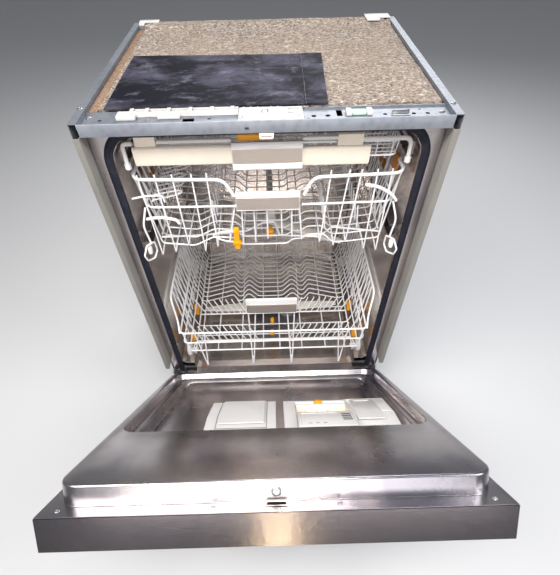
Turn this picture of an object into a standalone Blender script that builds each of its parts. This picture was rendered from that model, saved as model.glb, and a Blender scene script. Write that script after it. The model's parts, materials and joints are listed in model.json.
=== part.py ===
"""Built-in dishwasher, 600 mm class, with its door standing half open.

Metres, +Z up, +X to the machine's right as seen from the front, +Y towards its back.
The origin is on the floor under the middle of the whole machine's bounding box.
Cabinet pieces are modelled in cabinet coordinates, where Y = 0 is the front plane.
Door pieces are modelled as if the door were closed, with the origin on the hinge axis:
local Y is the depth into the cabinet and local Z runs from the hinge to the door's top.
"""
import math

import bmesh
import bpy
from mathutils import Matrix, Vector

# ---------------------------------------------------------------- driving dimensions
WIDTH = 0.598                # outer width of the cabinet and of the door
DEPTH = 0.5405               # cabinet front plane to the back
GAP = 0.0004                 # gap kept between pieces that touch

DOOR_OPEN = 49.0             # degrees the door stands open, from closed
PIVOT_Y = 0.006              # hinge axis behind the cabinet's front plane
PIVOT_Z = 0.1362             # hinge axis above the floor
DOOR_TIP = 0.666             # hinge axis to the door's top edge
DOOR_FOOT = -0.015           # hinge axis to the door's bottom edge
FLANGE = -0.009              # depth of the inner liner's flange from the hinge axis
DOOR_THICKNESS = 0.048       # flange to the outer face
OUTER = FLANGE - DOOR_THICKNESS
LINER_RIM = FLANGE + 0.029   # raised pan of the liner
LINER_LEDGE = FLANGE + 0.012  # side ledges inside the pan
LINER_FLOOR = FLANGE - 0.010  # floor of the recess in the pan
SHEET = 0.0012               # door sheet metal

HALF = WIDTH / 2
TUB_HALF = 0.258             # inside half width of the wash tub
TUB_TOP = 0.7755             # inside top of the wash tub
TUB_MOUTH = 0.0313           # front edge of the tub
TUB_BACK = 0.513             # back wall of the tub
TUB_CORNER = 0.045           # radius of the tub's upper corners
SILL_Z = 0.152               # top of the front sill under the door opening
FLOOR_Z = 0.143              # floor of the tub
LEDGE_Z = 0.1745             # pressed ledges that carry the lower basket's wheels
PANEL = 0.001                # cabinet sheet metal
RAIL_Z = 0.787               # lower edge of the front cross rail
RAIL_FLOOR = 0.7975          # floor of the front cross rail, behind its lip
FOOT_TOP = 0.030             # underside of the base tray
SUMP_Y = 0.255               # centre of the sump and of the lower spray arm

WHEEL_RADIUS = 0.019
WHEEL_Z = LEDGE_Z + 0.0005 + WHEEL_RADIUS
WHEEL_X = 0.2370
WHEEL_WIDTH = 0.012

LOWER_LOW, LOWER_HIGH = (-0.222, 0.024, 0.1955), (0.222, 0.488, 0.320)
UPPER_LOW, UPPER_HIGH = (-0.238, 0.0500, 0.530), (0.238, 0.480, 0.700)
UPPER_CELLS = (6, 6, 4)
TRAY_LOW, TRAY_HIGH = (-0.228, 0.0500, 0.7235), (0.228, 0.476, 0.7505)
ROLLER_Z = UPPER_LOW[2] + (UPPER_HIGH[2] - UPPER_LOW[2]) / UPPER_CELLS[2] + 0.0013
WIRE = 0.004

# ---------------------------------------------------------------- finishes
FINISHES = {
    "galvanised": ((0.62, 0.66, 0.72), 0.42, 0.85),
    "stainless": ((0.60, 0.58, 0.56), 0.28, 1.0),
    "tub_steel": ((0.52, 0.49, 0.46), 0.32, 1.0),
    "white_plastic": ((0.86, 0.86, 0.84), 0.40, 0.0),
    "cream_plastic": ((0.84, 0.76, 0.66), 0.45, 0.0),
    "beige_plastic": ((0.72, 0.69, 0.64), 0.50, 0.0),
    "grey_plastic": ((0.55, 0.55, 0.55), 0.50, 0.0),
    "yellow_plastic": ((0.92, 0.56, 0.05), 0.40, 0.0),
    "black_plastic": ((0.03, 0.03, 0.035), 0.55, 0.0),
    "gasket_rubber": ((0.03, 0.035, 0.06), 0.60, 0.0),
    "felt": ((0.40, 0.35, 0.29), 0.95, 0.0),
    "bitumen": ((0.03, 0.03, 0.035), 0.60, 0.0),
    "coated_wire": ((0.88, 0.88, 0.88), 0.35, 0.0),
    "handle_steel": ((0.60, 0.55, 0.50), 0.35, 1.0),
    "steel": ((0.55, 0.55, 0.56), 0.35, 1.0),
}


def material(finish):
    """Principled material for one finish, made once."""
    made = bpy.data.materials.get(finish)
    if made is None:
        colour, roughness, metallic = FINISHES[finish]
        made = bpy.data.materials.new(finish)
        made.use_nodes = True
        shader = made.node_tree.nodes["Principled BSDF"]
        shader.inputs["Base Color"].default_value = (*colour, 1.0)
        shader.inputs["Roughness"].default_value = roughness
        shader.inputs["Metallic"].default_value = metallic
    return made


# ---------------------------------------------------------------- scene helpers
def new_collection(name):
    made = bpy.data.collections.new(name)
    bpy.context.scene.collection.children.link(made)
    return made


def empty(name, parent=None, location=(0, 0, 0), turn_x=0.0):
    obj = bpy.data.objects.new(name, None)
    PARTS.objects.link(obj)
    obj.parent = parent
    obj.location = location
    obj.rotation_euler = (turn_x, 0, 0)
    return obj


def add_mesh(name, bm, finish, parent, smooth=False):
    """Turn a bmesh into a named part with one material."""
    mesh = bpy.data.meshes.new(name)
    bm.to_mesh(mesh)
    bm.free()
    mesh.materials.append(material(finish))
    if smooth:
        mesh.shade_smooth()
        mesh.set_sharp_from_angle(angle=math.radians(35))
    obj = bpy.data.objects.new(name, mesh)
    PARTS.objects.link(obj)
    obj.parent = parent
    return obj


def boolean(obj, other, operation):
    """Cut or join with a hidden helper object, which moves to the cutters collection."""
    for home in list(other.users_collection):
        home.objects.unlink(other)
    CUTTERS.objects.link(other)
    other.hide_render = True
    other.display_type = "WIRE"
    modifier = obj.modifiers.new(operation.lower(), "BOOLEAN")
    modifier.operation = operation
    modifier.solver = "EXACT"
    modifier.object = other


def cut(obj, *tools):
    for tool in tools:
        boolean(obj, tool, "DIFFERENCE")


def join(obj, *pieces):
    for piece in pieces:
        boolean(obj, piece, "UNION")


def solidify(obj, thickness):
    """Give a sheet its thickness behind its visible side."""
    modifier = obj.modifiers.new("thickness", "SOLIDIFY")
    modifier.thickness = thickness
    modifier.offset = -1.0


def bevel(obj, width, segments=2):
    modifier = obj.modifiers.new("edges", "BEVEL")
    modifier.width = width
    modifier.segments = segments
    modifier.limit_method = "ANGLE"
    modifier.angle_limit = math.radians(40)


# ---------------------------------------------------------------- shapes
def box(name, low, high, finish, parent, edge=0.0):
    low, high = Vector(low), Vector(high)
    place = Matrix.Translation((low + high) / 2) @ Matrix.Diagonal((*(high - low), 1.0))
    bm = bmesh.new()
    bmesh.ops.create_cube(bm, size=1.0, matrix=place)
    obj = add_mesh(name, bm, finish, parent)
    if edge:
        bevel(obj, edge)
    return obj


TURNS = {
    "X": Matrix.Rotation(math.pi / 2, 4, "Y"),
    "Y": Matrix.Rotation(-math.pi / 2, 4, "X"),
    "Z": Matrix.Identity(4),
}


def cylinder(name, centre, radius, length, axis, finish, parent, segments=20, end_radius=None):
    bm = bmesh.new()
    bmesh.ops.create_cone(
        bm, cap_ends=True, segments=segments, radius1=radius,
        radius2=radius if end_radius is None else end_radius, depth=length,
        matrix=Matrix.Translation(centre) @ TURNS[axis])
    return add_mesh(name, bm, finish, parent, smooth=True)


def turned(name, profile, centre, finish, parent, thickness=0.0, steps=24):
    """Profile of (radius, height) points, turned about a vertical axis."""
    bm = bmesh.new()
    verts = [bm.verts.new((radius, 0, height)) for radius, height in profile]
    for first, second in zip(verts, verts[1:]):
        bm.edges.new((first, second))
    obj = add_mesh(name, bm, finish, parent)
    obj.location = centre
    screw = obj.modifiers.new("turn", "SCREW")
    screw.steps = steps
    screw.render_steps = steps
    screw.use_merge_vertices = True
    screw.merge_threshold = 0.00005
    screw.use_smooth_shade = True
    if thickness:
        solidify(obj, thickness)
    return obj


PLATE_TURNS = {
    "XY": (0, 0, 0),
    "XZ": (math.pi / 2, 0, 0),
    "YZ": (math.pi / 2, 0, math.pi / 2),
}


def plate(name, outline, thickness, plane, offset, finish, parent, holes=()):
    """Flat outline with holes, in one of the main planes, centred on its offset."""
    curve = bpy.data.curves.new(name, "CURVE")
    curve.dimensions = "2D"
    curve.fill_mode = "BOTH"
    curve.extrude = thickness / 2
    for loop in (outline, *holes):
        spline = curve.splines.new("POLY")
        spline.points.add(len(loop) - 1)
        for point, (u, v) in zip(spline.points, loop):
            point.co = (u, v, 0, 1)
        spline.use_cyclic_u = True
    curve.materials.append(material(finish))
    obj = bpy.data.objects.new(name, curve)
    PARTS.objects.link(obj)
    obj.parent = parent
    obj.rotation_euler = PLATE_TURNS[plane]
    obj.location = {"XY": (0, 0, offset), "XZ": (0, offset, 0), "YZ": (offset, 0, 0)}[plane]
    return obj


def wire(name, points, radius, finish, parent, closed=False):
    curve = bpy.data.curves.new(name, "CURVE")
    curve.dimensions = "3D"
    curve.bevel_depth = radius
    curve.bevel_resolution = 1
    curve.use_fill_caps = True
    spline = curve.splines.new("POLY")
    spline.points.add(len(points) - 1)
    for point, place in zip(spline.points, points):
        point.co = (*place, 1)
    spline.use_cyclic_u = closed
    curve.materials.append(material(finish))
    obj = bpy.data.objects.new(name, curve)
    PARTS.objects.link(obj)
    obj.parent = parent
    return obj


def rounded(half_x, low, high, radius, steps=4, low_radius=None):
    """Rounded rectangle centred on X = 0, anticlockwise from its lower right corner."""
    low_radius = radius if low_radius is None else low_radius
    corners = [
        (half_x - low_radius, low + low_radius, low_radius, -90),
        (half_x - radius, high - radius, radius, 0),
        (-half_x + radius, high - radius, radius, 90),
        (-half_x + low_radius, low + low_radius, low_radius, 180),
    ]
    points = []
    for x, z, r, start in corners:
        for step in range(steps + 1):
            angle = math.radians(start + 90 * step / steps)
            points.append((x + r * math.cos(angle), z + r * math.sin(angle)))
    return points


def rectangle(half_x, low, high):
    return [(half_x, low), (half_x, high), (-half_x, high), (-half_x, low)]


def arch(half_x, low, high, radius, steps=5):
    """Open path up one side, over rounded corners and down the other side."""
    points = [(half_x, low)]
    for x, start in ((half_x - radius, 0), (-half_x + radius, 90)):
        for step in range(steps + 1):
            angle = math.radians(start + 90 * step / steps)
            points.append((x + radius * math.cos(angle), high - radius + radius * math.sin(angle)))
    points.append((-half_x, low))
    return points


def loft(name, sections, thickness, finish, parent, flip=False):
    """Sheet through sections (y, [(x, z), ...]) of equal length, closed at the last one."""
    bm = bmesh.new()
    rings = [[bm.verts.new((x, y, z)) for x, z in outline] for y, outline in sections]
    count = len(rings[0])
    for ring, following in zip(rings, rings[1:]):
        for i in range(count):
            j = (i + 1) % count
            bm.faces.new((ring[i], ring[j], following[j], following[i]))
    bm.faces.new(rings[-1])
    if flip:
        bmesh.ops.reverse_faces(bm, faces=bm.faces)
    obj = add_mesh(name, bm, finish, parent, smooth=True)
    solidify(obj, thickness)
    return obj


def wire_basket(name, low, high, cells, finish, parent, thickness=WIRE):
    """Open-topped basket of crossed wires: a gridded box without a lid, kept as its edges."""
    low, high = Vector(low), Vector(high)
    size, centre = high - low, (low + high) / 2
    bm = bmesh.new()
    place = Matrix.Translation((centre.x, centre.y, low.z)) @ Matrix.Diagonal((size.x, size.y, 1, 1))
    bmesh.ops.create_grid(bm, x_segments=cells[0], y_segments=cells[1], size=0.5, matrix=place)
    border = [edge for edge in bm.edges if edge.is_boundary]
    for _ in range(cells[2]):
        made = bmesh.ops.extrude_edge_only(bm, edges=border)["geom"]
        for vert in (item for item in made if isinstance(item, bmesh.types.BMVert)):
            vert.co.z += size.z / cells[2]
        border = [item for item in made if isinstance(item, bmesh.types.BMEdge) and item.is_boundary]
    bmesh.ops.recalc_face_normals(bm, faces=bm.faces)
    obj = add_mesh(name, bm, finish, parent)
    wires = obj.modifiers.new("wires", "WIREFRAME")
    wires.thickness = thickness
    wires.use_even_offset = True
    wires.use_boundary = True
    obj.modifiers.new("flat_faces", "TRIANGULATE")
    return obj


def grid_line(low, high, cells, number):
    return low + (high - low) * number / cells


def comb(name, half_length, y, z, height, teeth, finish, parent, x_centre=0.0, along_y=False):
    """Folding row: a rod bent back over itself in upright loops, one endless wire."""
    pitch = 2 * half_length / teeth
    points = [(-half_length, 0.0), (half_length, 0.0)]
    for tooth in range(teeth):
        middle = half_length - pitch * (tooth + 0.5)
        points += [(middle + pitch * 0.40, 0.007), (middle + pitch * 0.10, height),
                   (middle - pitch * 0.10, height), (middle - pitch * 0.40, 0.007)]
    if along_y:
        places = [(0.0, u, v) for u, v in points]
    else:
        places = [(u, 0.0, v) for u, v in points]
    obj = wire(name, places, 0.0016, finish, parent, closed=True)
    obj.location = (x_centre, y, z)
    return obj


# ---------------------------------------------------------------- cabinet
def base_tray(cabinet):
    """Moulded base under the tub, open at the top, with room for the swinging door foot."""
    low, high = (-0.286, 0.062, FOOT_TOP), (0.286, 0.532, 0.118)
    tray = box("base_tray", low, high, "grey_plastic", cabinet)
    inside = box("base_tray_inside", (low[0] + 0.004, low[1] + 0.004, low[2] + 0.004),
                 (high[0] - 0.004, high[1] - 0.004, high[2] + 0.02), "grey_plastic", cabinet)
    cut(tray, inside)


def side_panel(name, side, cabinet):
    """Galvanised side wall with its folded top flange and a notch for the hinge."""
    profile = [(0.2985, FOOT_TOP + 0.006), (0.2985, 0.8045), (0.2868, 0.8045), (0.2868, 0.7965)]
    bm = bmesh.new()
    front = [bm.verts.new((side * x, 0.0027, z)) for x, z in profile]
    back = [bm.verts.new((side * x, DEPTH - 0.0005, z)) for x, z in profile]
    for i in range(len(profile) - 1):
        bm.faces.new((front[i], front[i + 1], back[i + 1], back[i]))
    panel = add_mesh(name, bm, "galvanised", cabinet)
    skin = panel.modifiers.new("thickness", "SOLIDIFY")
    skin.thickness = PANEL
    skin.offset = 0.0
    skin.use_even_offset = True
    notch = box(name + "_notch", (side * 0.2925 - 0.01, -0.01, 0.0), (side * 0.2925 + 0.01, 0.046, 0.1885),
                "galvanised", cabinet)
    cut(panel, notch)


def edge_strip(name, side, cabinet):
    """Light plastic strip over the side wall's front edge, with its inward return."""
    outline = [(0.2988, 0.0), (0.2988, 0.0023), (0.2903, 0.0023), (0.2903, 0.0290), (0.2888, 0.0290),
               (0.2888, 0.0)]
    plate(name, [(side * x, y) for x, y in outline], 0.5945, "XY", 0.48675, "beige_plastic", cabinet)


def front_rail(cabinet):
    """Folded cross rail over the door opening: a hemmed front lip and a lower floor behind it."""
    profile = [(0.0006, RAIL_Z), (0.0006, 0.8044), (0.0034, 0.8044), (0.0034, RAIL_FLOOR),
               (0.0560, RAIL_FLOOR)]
    bm = bmesh.new()
    half = 0.2858
    left = [bm.verts.new((-half, y, z)) for y, z in profile]
    right = [bm.verts.new((half, y, z)) for y, z in profile]
    for i in range(len(profile) - 1):
        bm.faces.new((left[i], right[i], right[i + 1], left[i + 1]))
    rail = add_mesh("top_front_rail", bm, "galvanised", cabinet)
    solidify(rail, PANEL)
    for x in (-0.2600, 0.0741, 0.0959, 0.1850, 0.2299, 0.2517):
        cut(rail, cylinder(f"rail_hole_{x}", (x, 0.030, RAIL_FLOOR), 0.0036, 0.01, "Z", "steel", cabinet, 10))
    cut(rail, box("rail_cutout", (0.1100, 0.0270, RAIL_FLOOR - 0.01), (0.1190, 0.0500, RAIL_FLOOR + 0.01),
                  "steel", cabinet))


def rear_rail(cabinet):
    box("top_rear_rail", (-0.2858, 0.5150, 0.7930), (0.2858, 0.5385, 0.8040), "galvanised", cabinet)


def rear_panel(cabinet):
    outline = rectangle(0.2970, 0.1240, 0.7925)
    plate("rear_panel", outline, PANEL, "XZ", DEPTH - 0.0007, "galvanised", cabinet)


def tub_section(shrink, floor):
    """Section of the wash tub, with the ledges that the lower wheels run on."""
    half, top = TUB_HALF - shrink, TUB_TOP - shrink
    right = [(0.0, floor + shrink), (0.212 - shrink, floor + shrink), (0.2215 - shrink, floor + 0.004 + shrink),
             (0.2265 - shrink, LEDGE_Z), (0.2500 - shrink, LEDGE_Z), (half, LEDGE_Z + 0.008), (half, 0.45)]
    for step in range(5):
        angle = math.radians(90 * step / 4)
        right.append((half - TUB_CORNER + TUB_CORNER * math.cos(angle),
                      top - TUB_CORNER + TUB_CORNER * math.sin(angle)))
    left = [(-x, z) for x, z in reversed(right[1:])]
    return right + [(0.0, top)] + left


def tub(cabinet):
    sections = [(TUB_MOUTH, tub_section(0, SILL_Z)), (0.060, tub_section(0, FLOOR_Z)),
                (TUB_BACK - 0.014, tub_section(0, FLOOR_Z)), (TUB_BACK, tub_section(0.012, FLOOR_Z))]
    shell = loft("tub", sections, 0.0008, "tub_steel", cabinet)
    well = cylinder("tub_sump_cut", (0, SUMP_Y, FLOOR_Z), 0.086, 0.02, "Z", "tub_steel", cabinet, 28)
    cut(shell, well)


def front_frame(cabinet):
    """Flat frame welded around the tub's mouth."""
    outer = rectangle(0.2884, 0.1405, 0.7860)
    mouth = rounded(TUB_HALF + 0.0008, SILL_Z, TUB_TOP + 0.0008, TUB_CORNER, 5, 0.006)
    plate("front_frame", outer, PANEL, "XZ", 0.0304, "stainless", cabinet, holes=[mouth])


def tub_sill(cabinet):
    """Folded strip that closes the gap between the tub's floor and the door."""
    profile = [(0.0010, 0.1420), (0.0010, SILL_Z), (0.0294, SILL_Z)]
    bm = bmesh.new()
    half = 0.2570
    left = [bm.verts.new((-half, y, z)) for y, z in profile]
    right = [bm.verts.new((half, y, z)) for y, z in profile]
    for i in range(len(profile) - 1):
        bm.faces.new((left[i], right[i], right[i + 1], left[i + 1]))
    solidify(add_mesh("tub_sill", bm, "stainless", cabinet), PANEL)


def gasket(cabinet):
    """Door seal up both sides and over the top of the opening."""
    outline = arch(0.2735, 0.158, 0.7852, 0.055) + list(reversed(arch(0.2592, 0.158, 0.7768, TUB_CORNER)))
    plate("door_gasket", outline, 0.0030, "XZ", 0.0281, "gasket_rubber", cabinet)


def covering(cabinet):
    """Insulation mat on the tub and the bitumen sheet laid on it."""
    box("insulation_mat", (-0.2850, 0.0575, 0.7950), (0.2850, 0.5145, 0.8015), "felt", cabinet)
    sheet = [(-0.2585, 0.0600), (0.0990, 0.0600), (0.1090, 0.2975), (-0.2585, 0.3130)]
    plate("bitumen_sheet", sheet, 0.0022, "XY", 0.8031, "bitumen", cabinet)


def latch_group(cabinet):
    """White latch housing with its long cable duct, and the loop that the door catches."""
    outline = [(-0.214, 0.0400), (-0.043, 0.0400), (-0.043, 0.0100), (-0.012, 0.0100), (-0.012, 0.0045),
               (0.013, 0.0045), (0.013, 0.0100), (0.057, 0.0100), (0.057, 0.0550), (-0.214, 0.0550)]
    plate("latch_housing", outline, 0.0060, "XY", RAIL_FLOOR + 0.0034, "white_plastic", cabinet)
    ring = [(-0.011, -0.012), (0.011, -0.012), (0.011, -0.0004), (-0.011, -0.0004)]
    slot = [(-0.007, -0.0095), (0.007, -0.0095), (0.007, -0.0035), (-0.007, -0.0035)]
    plate("strike_loop", ring, 0.0040, "XY", 0.7850, "white_plastic", cabinet, holes=[slot])


def hinge_brackets(cabinet):
    """Plates that carry the hinge pins, rounded under the pin to clear the swinging flange."""
    nose = [(PIVOT_Y + 0.0078 * math.cos(math.radians(angle)), PIVOT_Z + 0.0078 * math.sin(math.radians(angle)))
            for angle in (270, 247, 225, 202, 180)]
    outline = nose + [(PIVOT_Y - 0.0078, 0.1480), (0.0080, 0.1560), (0.0270, 0.1560), (0.0270, 0.1300),
                      (0.0600, 0.1300), (0.0600, 0.1190), (0.0300, 0.1190), (0.0215, 0.1287)]
    pin_hole = [(PIVOT_Y + 0.0042 * math.cos(math.radians(45 * i)),
                 PIVOT_Z + 0.0042 * math.sin(math.radians(45 * i))) for i in range(8)]
    for name, side in (("hinge_bracket_left", -1), ("hinge_bracket_right", 1)):
        plate(name, outline, 0.003, "YZ", side * 0.2868, "steel", cabinet, holes=[pin_hole])


def c_channel(name, side, low, high, inner, outer, wall, cabinet):
    """Guide channel on the tub wall, open towards the middle of the tub."""
    outline = [(outer, low), (outer, high), (inner, high), (inner, high - wall),
               (outer - wall, high - wall), (outer - wall, low + wall), (inner, low + wall), (inner, low)]
    plate(name, [(side * x, z) for x, z in outline], 0.440, "XZ", 0.272, "stainless", cabinet)


def rails(cabinet):
    for name, side in (("left", -1), ("right", 1)):
        c_channel("upper_rail_" + name, side, ROLLER_Z - 0.013, ROLLER_Z + 0.013, 0.2420, 0.2574, 0.0016,
                  cabinet)
        c_channel("tray_rail_" + name, side, 0.7250, 0.7460, 0.2385, 0.2515, 0.0016, cabinet)


def sump(cabinet):
    """Sump bowl under the tub, coarse filter plate over it."""
    profile = [(0.0, 0.0), (0.045, 0.0), (0.074, 0.012), (0.082, 0.050), (0.098, 0.050)]
    turned("sump", profile, (0, SUMP_Y, 0.0915), "grey_plastic", cabinet, thickness=0.0025)
    outline = [(0.0845 * math.cos(math.radians(15 * i)), SUMP_Y + 0.0845 * math.sin(math.radians(15 * i)))
               for i in range(24)]
    filter_hole = [(0.046 + 0.0285 * math.cos(math.radians(30 * i)),
                    SUMP_Y + 0.0285 * math.sin(math.radians(30 * i))) for i in range(12)]
    hub_hole = [(0.0105 * math.cos(math.radians(36 * i)) - 0.006,
                 SUMP_Y + 0.0105 * math.sin(math.radians(36 * i))) for i in range(10)]
    plate("filter_plate", outline, 0.0016, "XY", 0.1432, "stainless", cabinet, holes=[filter_hole, hub_hole])


def pumps(cabinet):
    pump = cylinder("circulation_pump", (0.150, 0.160, 0.0760), 0.034, 0.110, "X", "black_plastic",
                    cabinet, 20)
    spout = cylinder("pump_spout", (0.110, 0.190, 0.0760), 0.014, 0.075, "Y", "black_plastic", cabinet, 14)
    join(pump, spout)
    cylinder("drain_pump", (-0.145, 0.300, 0.0700), 0.025, 0.060, "X", "grey_plastic", cabinet, 18)


def feet(cabinet):
    """Threaded levelling feet; each is a pad and its stem, free to run out of the base."""
    profile = [(0.0, FOOT_TOP - 0.0006), (0.011, FOOT_TOP - 0.0006), (0.011, 0.010), (0.020, 0.006),
               (0.020, 0.0), (0.0, 0.0)]
    for name, x, y in (("foot_front_left", -0.255, 0.095), ("foot_front_right", 0.255, 0.095),
                       ("foot_rear_left", -0.255, 0.500), ("foot_rear_right", 0.255, 0.500)):
        turned(name, profile, (x, y, 0.0), "black_plastic", cabinet, steps=16)


# ---------------------------------------------------------------- spray system
def spray_arm(name, centre, length, width, thickness, hub_radius, hub_drop, parent):
    """Flat hollow blade seen from outside, with a round hub below its middle."""
    half, wide = length / 2, width / 2
    outline = [(half, -wide * 0.45), (half, wide * 0.45), (half * 0.35, wide), (-half * 0.35, wide),
               (-half, wide * 0.45), (-half, -wide * 0.45), (-half * 0.35, -wide), (half * 0.35, -wide)]
    bm = bmesh.new()
    low = [bm.verts.new((x, y, -thickness / 2)) for x, y in outline]
    face = bm.faces.new(low)
    made = bmesh.ops.extrude_face_region(bm, geom=[face])["geom"]
    for vert in (item for item in made if isinstance(item, bmesh.types.BMVert)):
        vert.co.z += thickness
    bmesh.ops.recalc_face_normals(bm, faces=bm.faces)
    arm = add_mesh(name, bm, "beige_plastic", parent)
    arm.location = centre
    hub = cylinder(name + "_hub", (0, 0, -hub_drop / 2), hub_radius, hub_drop + thickness, "Z",
                   "beige_plastic", arm, 16)
    join(arm, hub)
    return arm


def filter_cylinder(cabinet):
    body = cylinder("filter_cylinder", (0.046, SUMP_Y, 0.1290), 0.0270, 0.046, "Z", "grey_plastic",
                    cabinet, 20)
    grip = box("filter_grip", (0.046 - 0.018, SUMP_Y - 0.003, 0.150), (0.046 + 0.018, SUMP_Y + 0.003, 0.1535),
               "grey_plastic", cabinet)
    join(body, grip)


# ---------------------------------------------------------------- door
def door_outer(door):
    """Outer door skin: a shallow tray open towards the cabinet."""
    inner_edge = FLANGE - SHEET - GAP
    bm = bmesh.new()
    centre = Vector((0, (OUTER + inner_edge) / 2, (DOOR_FOOT + DOOR_TIP) / 2))
    size = Vector((WIDTH, inner_edge - OUTER, DOOR_TIP - DOOR_FOOT))
    bmesh.ops.create_cube(bm, size=1.0, matrix=Matrix.Translation(centre) @ Matrix.Diagonal((*size, 1.0)))
    inner = [face for face in bm.faces if face.calc_center_median().y > inner_edge - 0.0001]
    bmesh.ops.delete(bm, geom=inner, context="FACES_ONLY")
    skin = add_mesh("door_outer_panel", bm, "stainless", door)
    solidify(skin, SHEET)


def door_liner(door):
    """Pressed stainless liner: flange, raised pan, side ledges and the recessed floor."""
    flange_half = HALF - 0.0008
    steps = 4

    def ring(half, low, high, radius):
        return rounded(half, low, high, radius, steps)

    sections = [
        (FLANGE, ring(flange_half, DOOR_FOOT + 0.0006, DOOR_TIP - 0.0006, 0.0005)),
        (FLANGE, ring(0.2846, 0.0220, 0.6430, 0.030)),
        (LINER_RIM - 0.004, ring(0.2838, 0.0226, 0.6410, 0.029)),
        (LINER_RIM, ring(0.2805, 0.0260, 0.6375, 0.027)),
        (LINER_RIM, ring(0.2690, 0.0350, 0.4640, 0.030)),
        (LINER_LEDGE, ring(0.2660, 0.0380, 0.4610, 0.028)),
        (LINER_LEDGE, ring(0.2490, 0.0400, 0.4590, 0.026)),
        (LINER_FLOOR, ring(0.2450, 0.0460, 0.4530, 0.022)),
    ]
    liner = loft("door_liner", sections, 0.0010, "stainless", door, flip=True)
    slot = box("latch_slot", (-0.014, FLANGE - 0.01, 0.6445), (0.014, FLANGE + 0.005, 0.6570), "steel", door)
    cut(liner, slot)
    for side in (-1, 1):
        x = side * 0.2690
        lug = cylinder(f"hinge_lug_{side}", (x, 0, 0), 0.0085, 0.006, "X", "stainless", door, 16)
        web = box(f"hinge_web_{side}", (x - 0.003, FLANGE - 0.0006, -0.0080), (x + 0.003, -0.0030, 0.0080),
                  "stainless", door)
        bore = cylinder(f"hinge_bore_{side}", (x, 0, 0), 0.0042, 0.02, "X", "stainless", door, 16)
        join(liner, lug, web)
        cut(liner, bore)


def detergent_unit(door):
    """Dispenser housing with its powder well, sliding cover, opening tab and rinse-aid lid."""
    base = LINER_FLOOR + GAP
    top = base + 0.020
    housing = box("dispenser_housing", (0.0175, base, 0.2520), (0.2405, top, 0.4180), "white_plastic", door)
    well = box("powder_well", (0.0480, base + 0.004, 0.2800), (0.1480, top + 0.01, 0.3380), "white_plastic",
               door)
    pocket = box("tab_pocket", (0.0844, top - 0.003, 0.2612), (0.1030, top + 0.01, 0.2763), "white_plastic",
                 door)
    cut(housing, well, pocket)
    box("detergent_lid", (0.0440, top + GAP, 0.3430), (0.1530, top + 0.0034, 0.4170), "white_plastic", door)
    box("rinse_aid_lid", (0.1610, top + GAP, 0.2700), (0.2120, top + 0.0040, 0.3800), "white_plastic", door)
    box("dispenser_tab", (0.0852, top - 0.0005, 0.2620), (0.1022, top + 0.0055, 0.2755), "yellow_plastic",
        door)


def salt_unit(door):
    """Left box on the liner's floor, with its hinged lid."""
    base = LINER_FLOOR + GAP
    top = base + 0.020
    box("salt_housing", (-0.1380, base, 0.2510), (0.0010, top, 0.4180), "white_plastic", door)
    box("salt_lid", (-0.1120, top + GAP, 0.2560), (-0.0220, top + 0.0040, 0.3800), "white_plastic", door)


def door_latch(door):
    box("door_latch", (-0.010, FLANGE - 0.034, 0.6462), (0.010, FLANGE - 0.0150, 0.6540), "steel", door)


# ---------------------------------------------------------------- racks
def wheel(name, side, y, rack):
    disc = cylinder(name, (side * WHEEL_X, y, WHEEL_Z), WHEEL_RADIUS, WHEEL_WIDTH, "X", "beige_plastic",
                    rack, 18)
    bore = cylinder(name + "_bore", (side * WHEEL_X, y, WHEEL_Z), 0.0046, 0.03, "X", "beige_plastic", rack, 12)
    cut(disc, bore)


def lower_rack(rack):
    basket = wire_basket("lower_basket", LOWER_LOW, LOWER_HIGH, (6, 6, 2), "coated_wire", rack)
    for side in (-1, 1):
        for y in (0.066, 0.430):
            axle = cylinder(f"axle_{side}_{y}", (side * 0.2325, y, WHEEL_Z), 0.0040, 0.024, "X",
                            "coated_wire", rack, 10)
            join(basket, axle)
            wheel(f"lower_wheel_{'front' if y < 0.2 else 'rear'}_{'left' if side < 0 else 'right'}",
                  side, y, rack)
        post = box(f"handle_post_{side}", (side * 0.052 - 0.0023, 0.0212, 0.3173),
                   (side * 0.052 + 0.0023, 0.0268, 0.3846), "coated_wire", rack)
        join(basket, post)
    box("lower_handle", (-0.0605, 0.0120, 0.3850), (0.0605, 0.0330, 0.4230), "handle_steel", rack, 0.002)
    comb("front_tine_row", 0.200, 0.085, 0.2035, 0.050, 8, "coated_wire", rack)
    comb("middle_tine_row", 0.200, 0.190, 0.2035, 0.060, 8, "coated_wire", rack)


def upper_rack(rack):
    basket = wire_basket("upper_basket", UPPER_LOW, UPPER_HIGH, UPPER_CELLS, "coated_wire", rack)
    for side in (-1, 1):
        for y in (grid_line(UPPER_LOW[1], UPPER_HIGH[1], 6, 1), grid_line(UPPER_LOW[1], UPPER_HIGH[1], 6, 5)):
            pin = cylinder(f"roller_{side}_{y:.3f}", (side * 0.2448, y + 0.0011, ROLLER_Z), 0.0085, 0.0170, "X",
                           "beige_plastic", rack, 15)
            join(basket, pin)
    tube = box("feed_tube", (-0.0125, 0.2525, 0.4745), (0.0125, 0.2775, 0.5333), "beige_plastic", rack)
    join(basket, tube)
    box("upper_handle", (-0.0605, 0.0280, 0.6400), (0.0605, 0.0475, 0.6820), "handle_steel", rack, 0.002)
    comb("cup_shelf", 0.130, 0.200, 0.0, 0.060, 6, "coated_wire", rack, along_y=True)
    shelf = bpy.data.objects["cup_shelf"]
    shelf.location = (-0.2260, 0.200, 0.6400)
    shelf.rotation_euler = (0, math.radians(80), 0)


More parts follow.
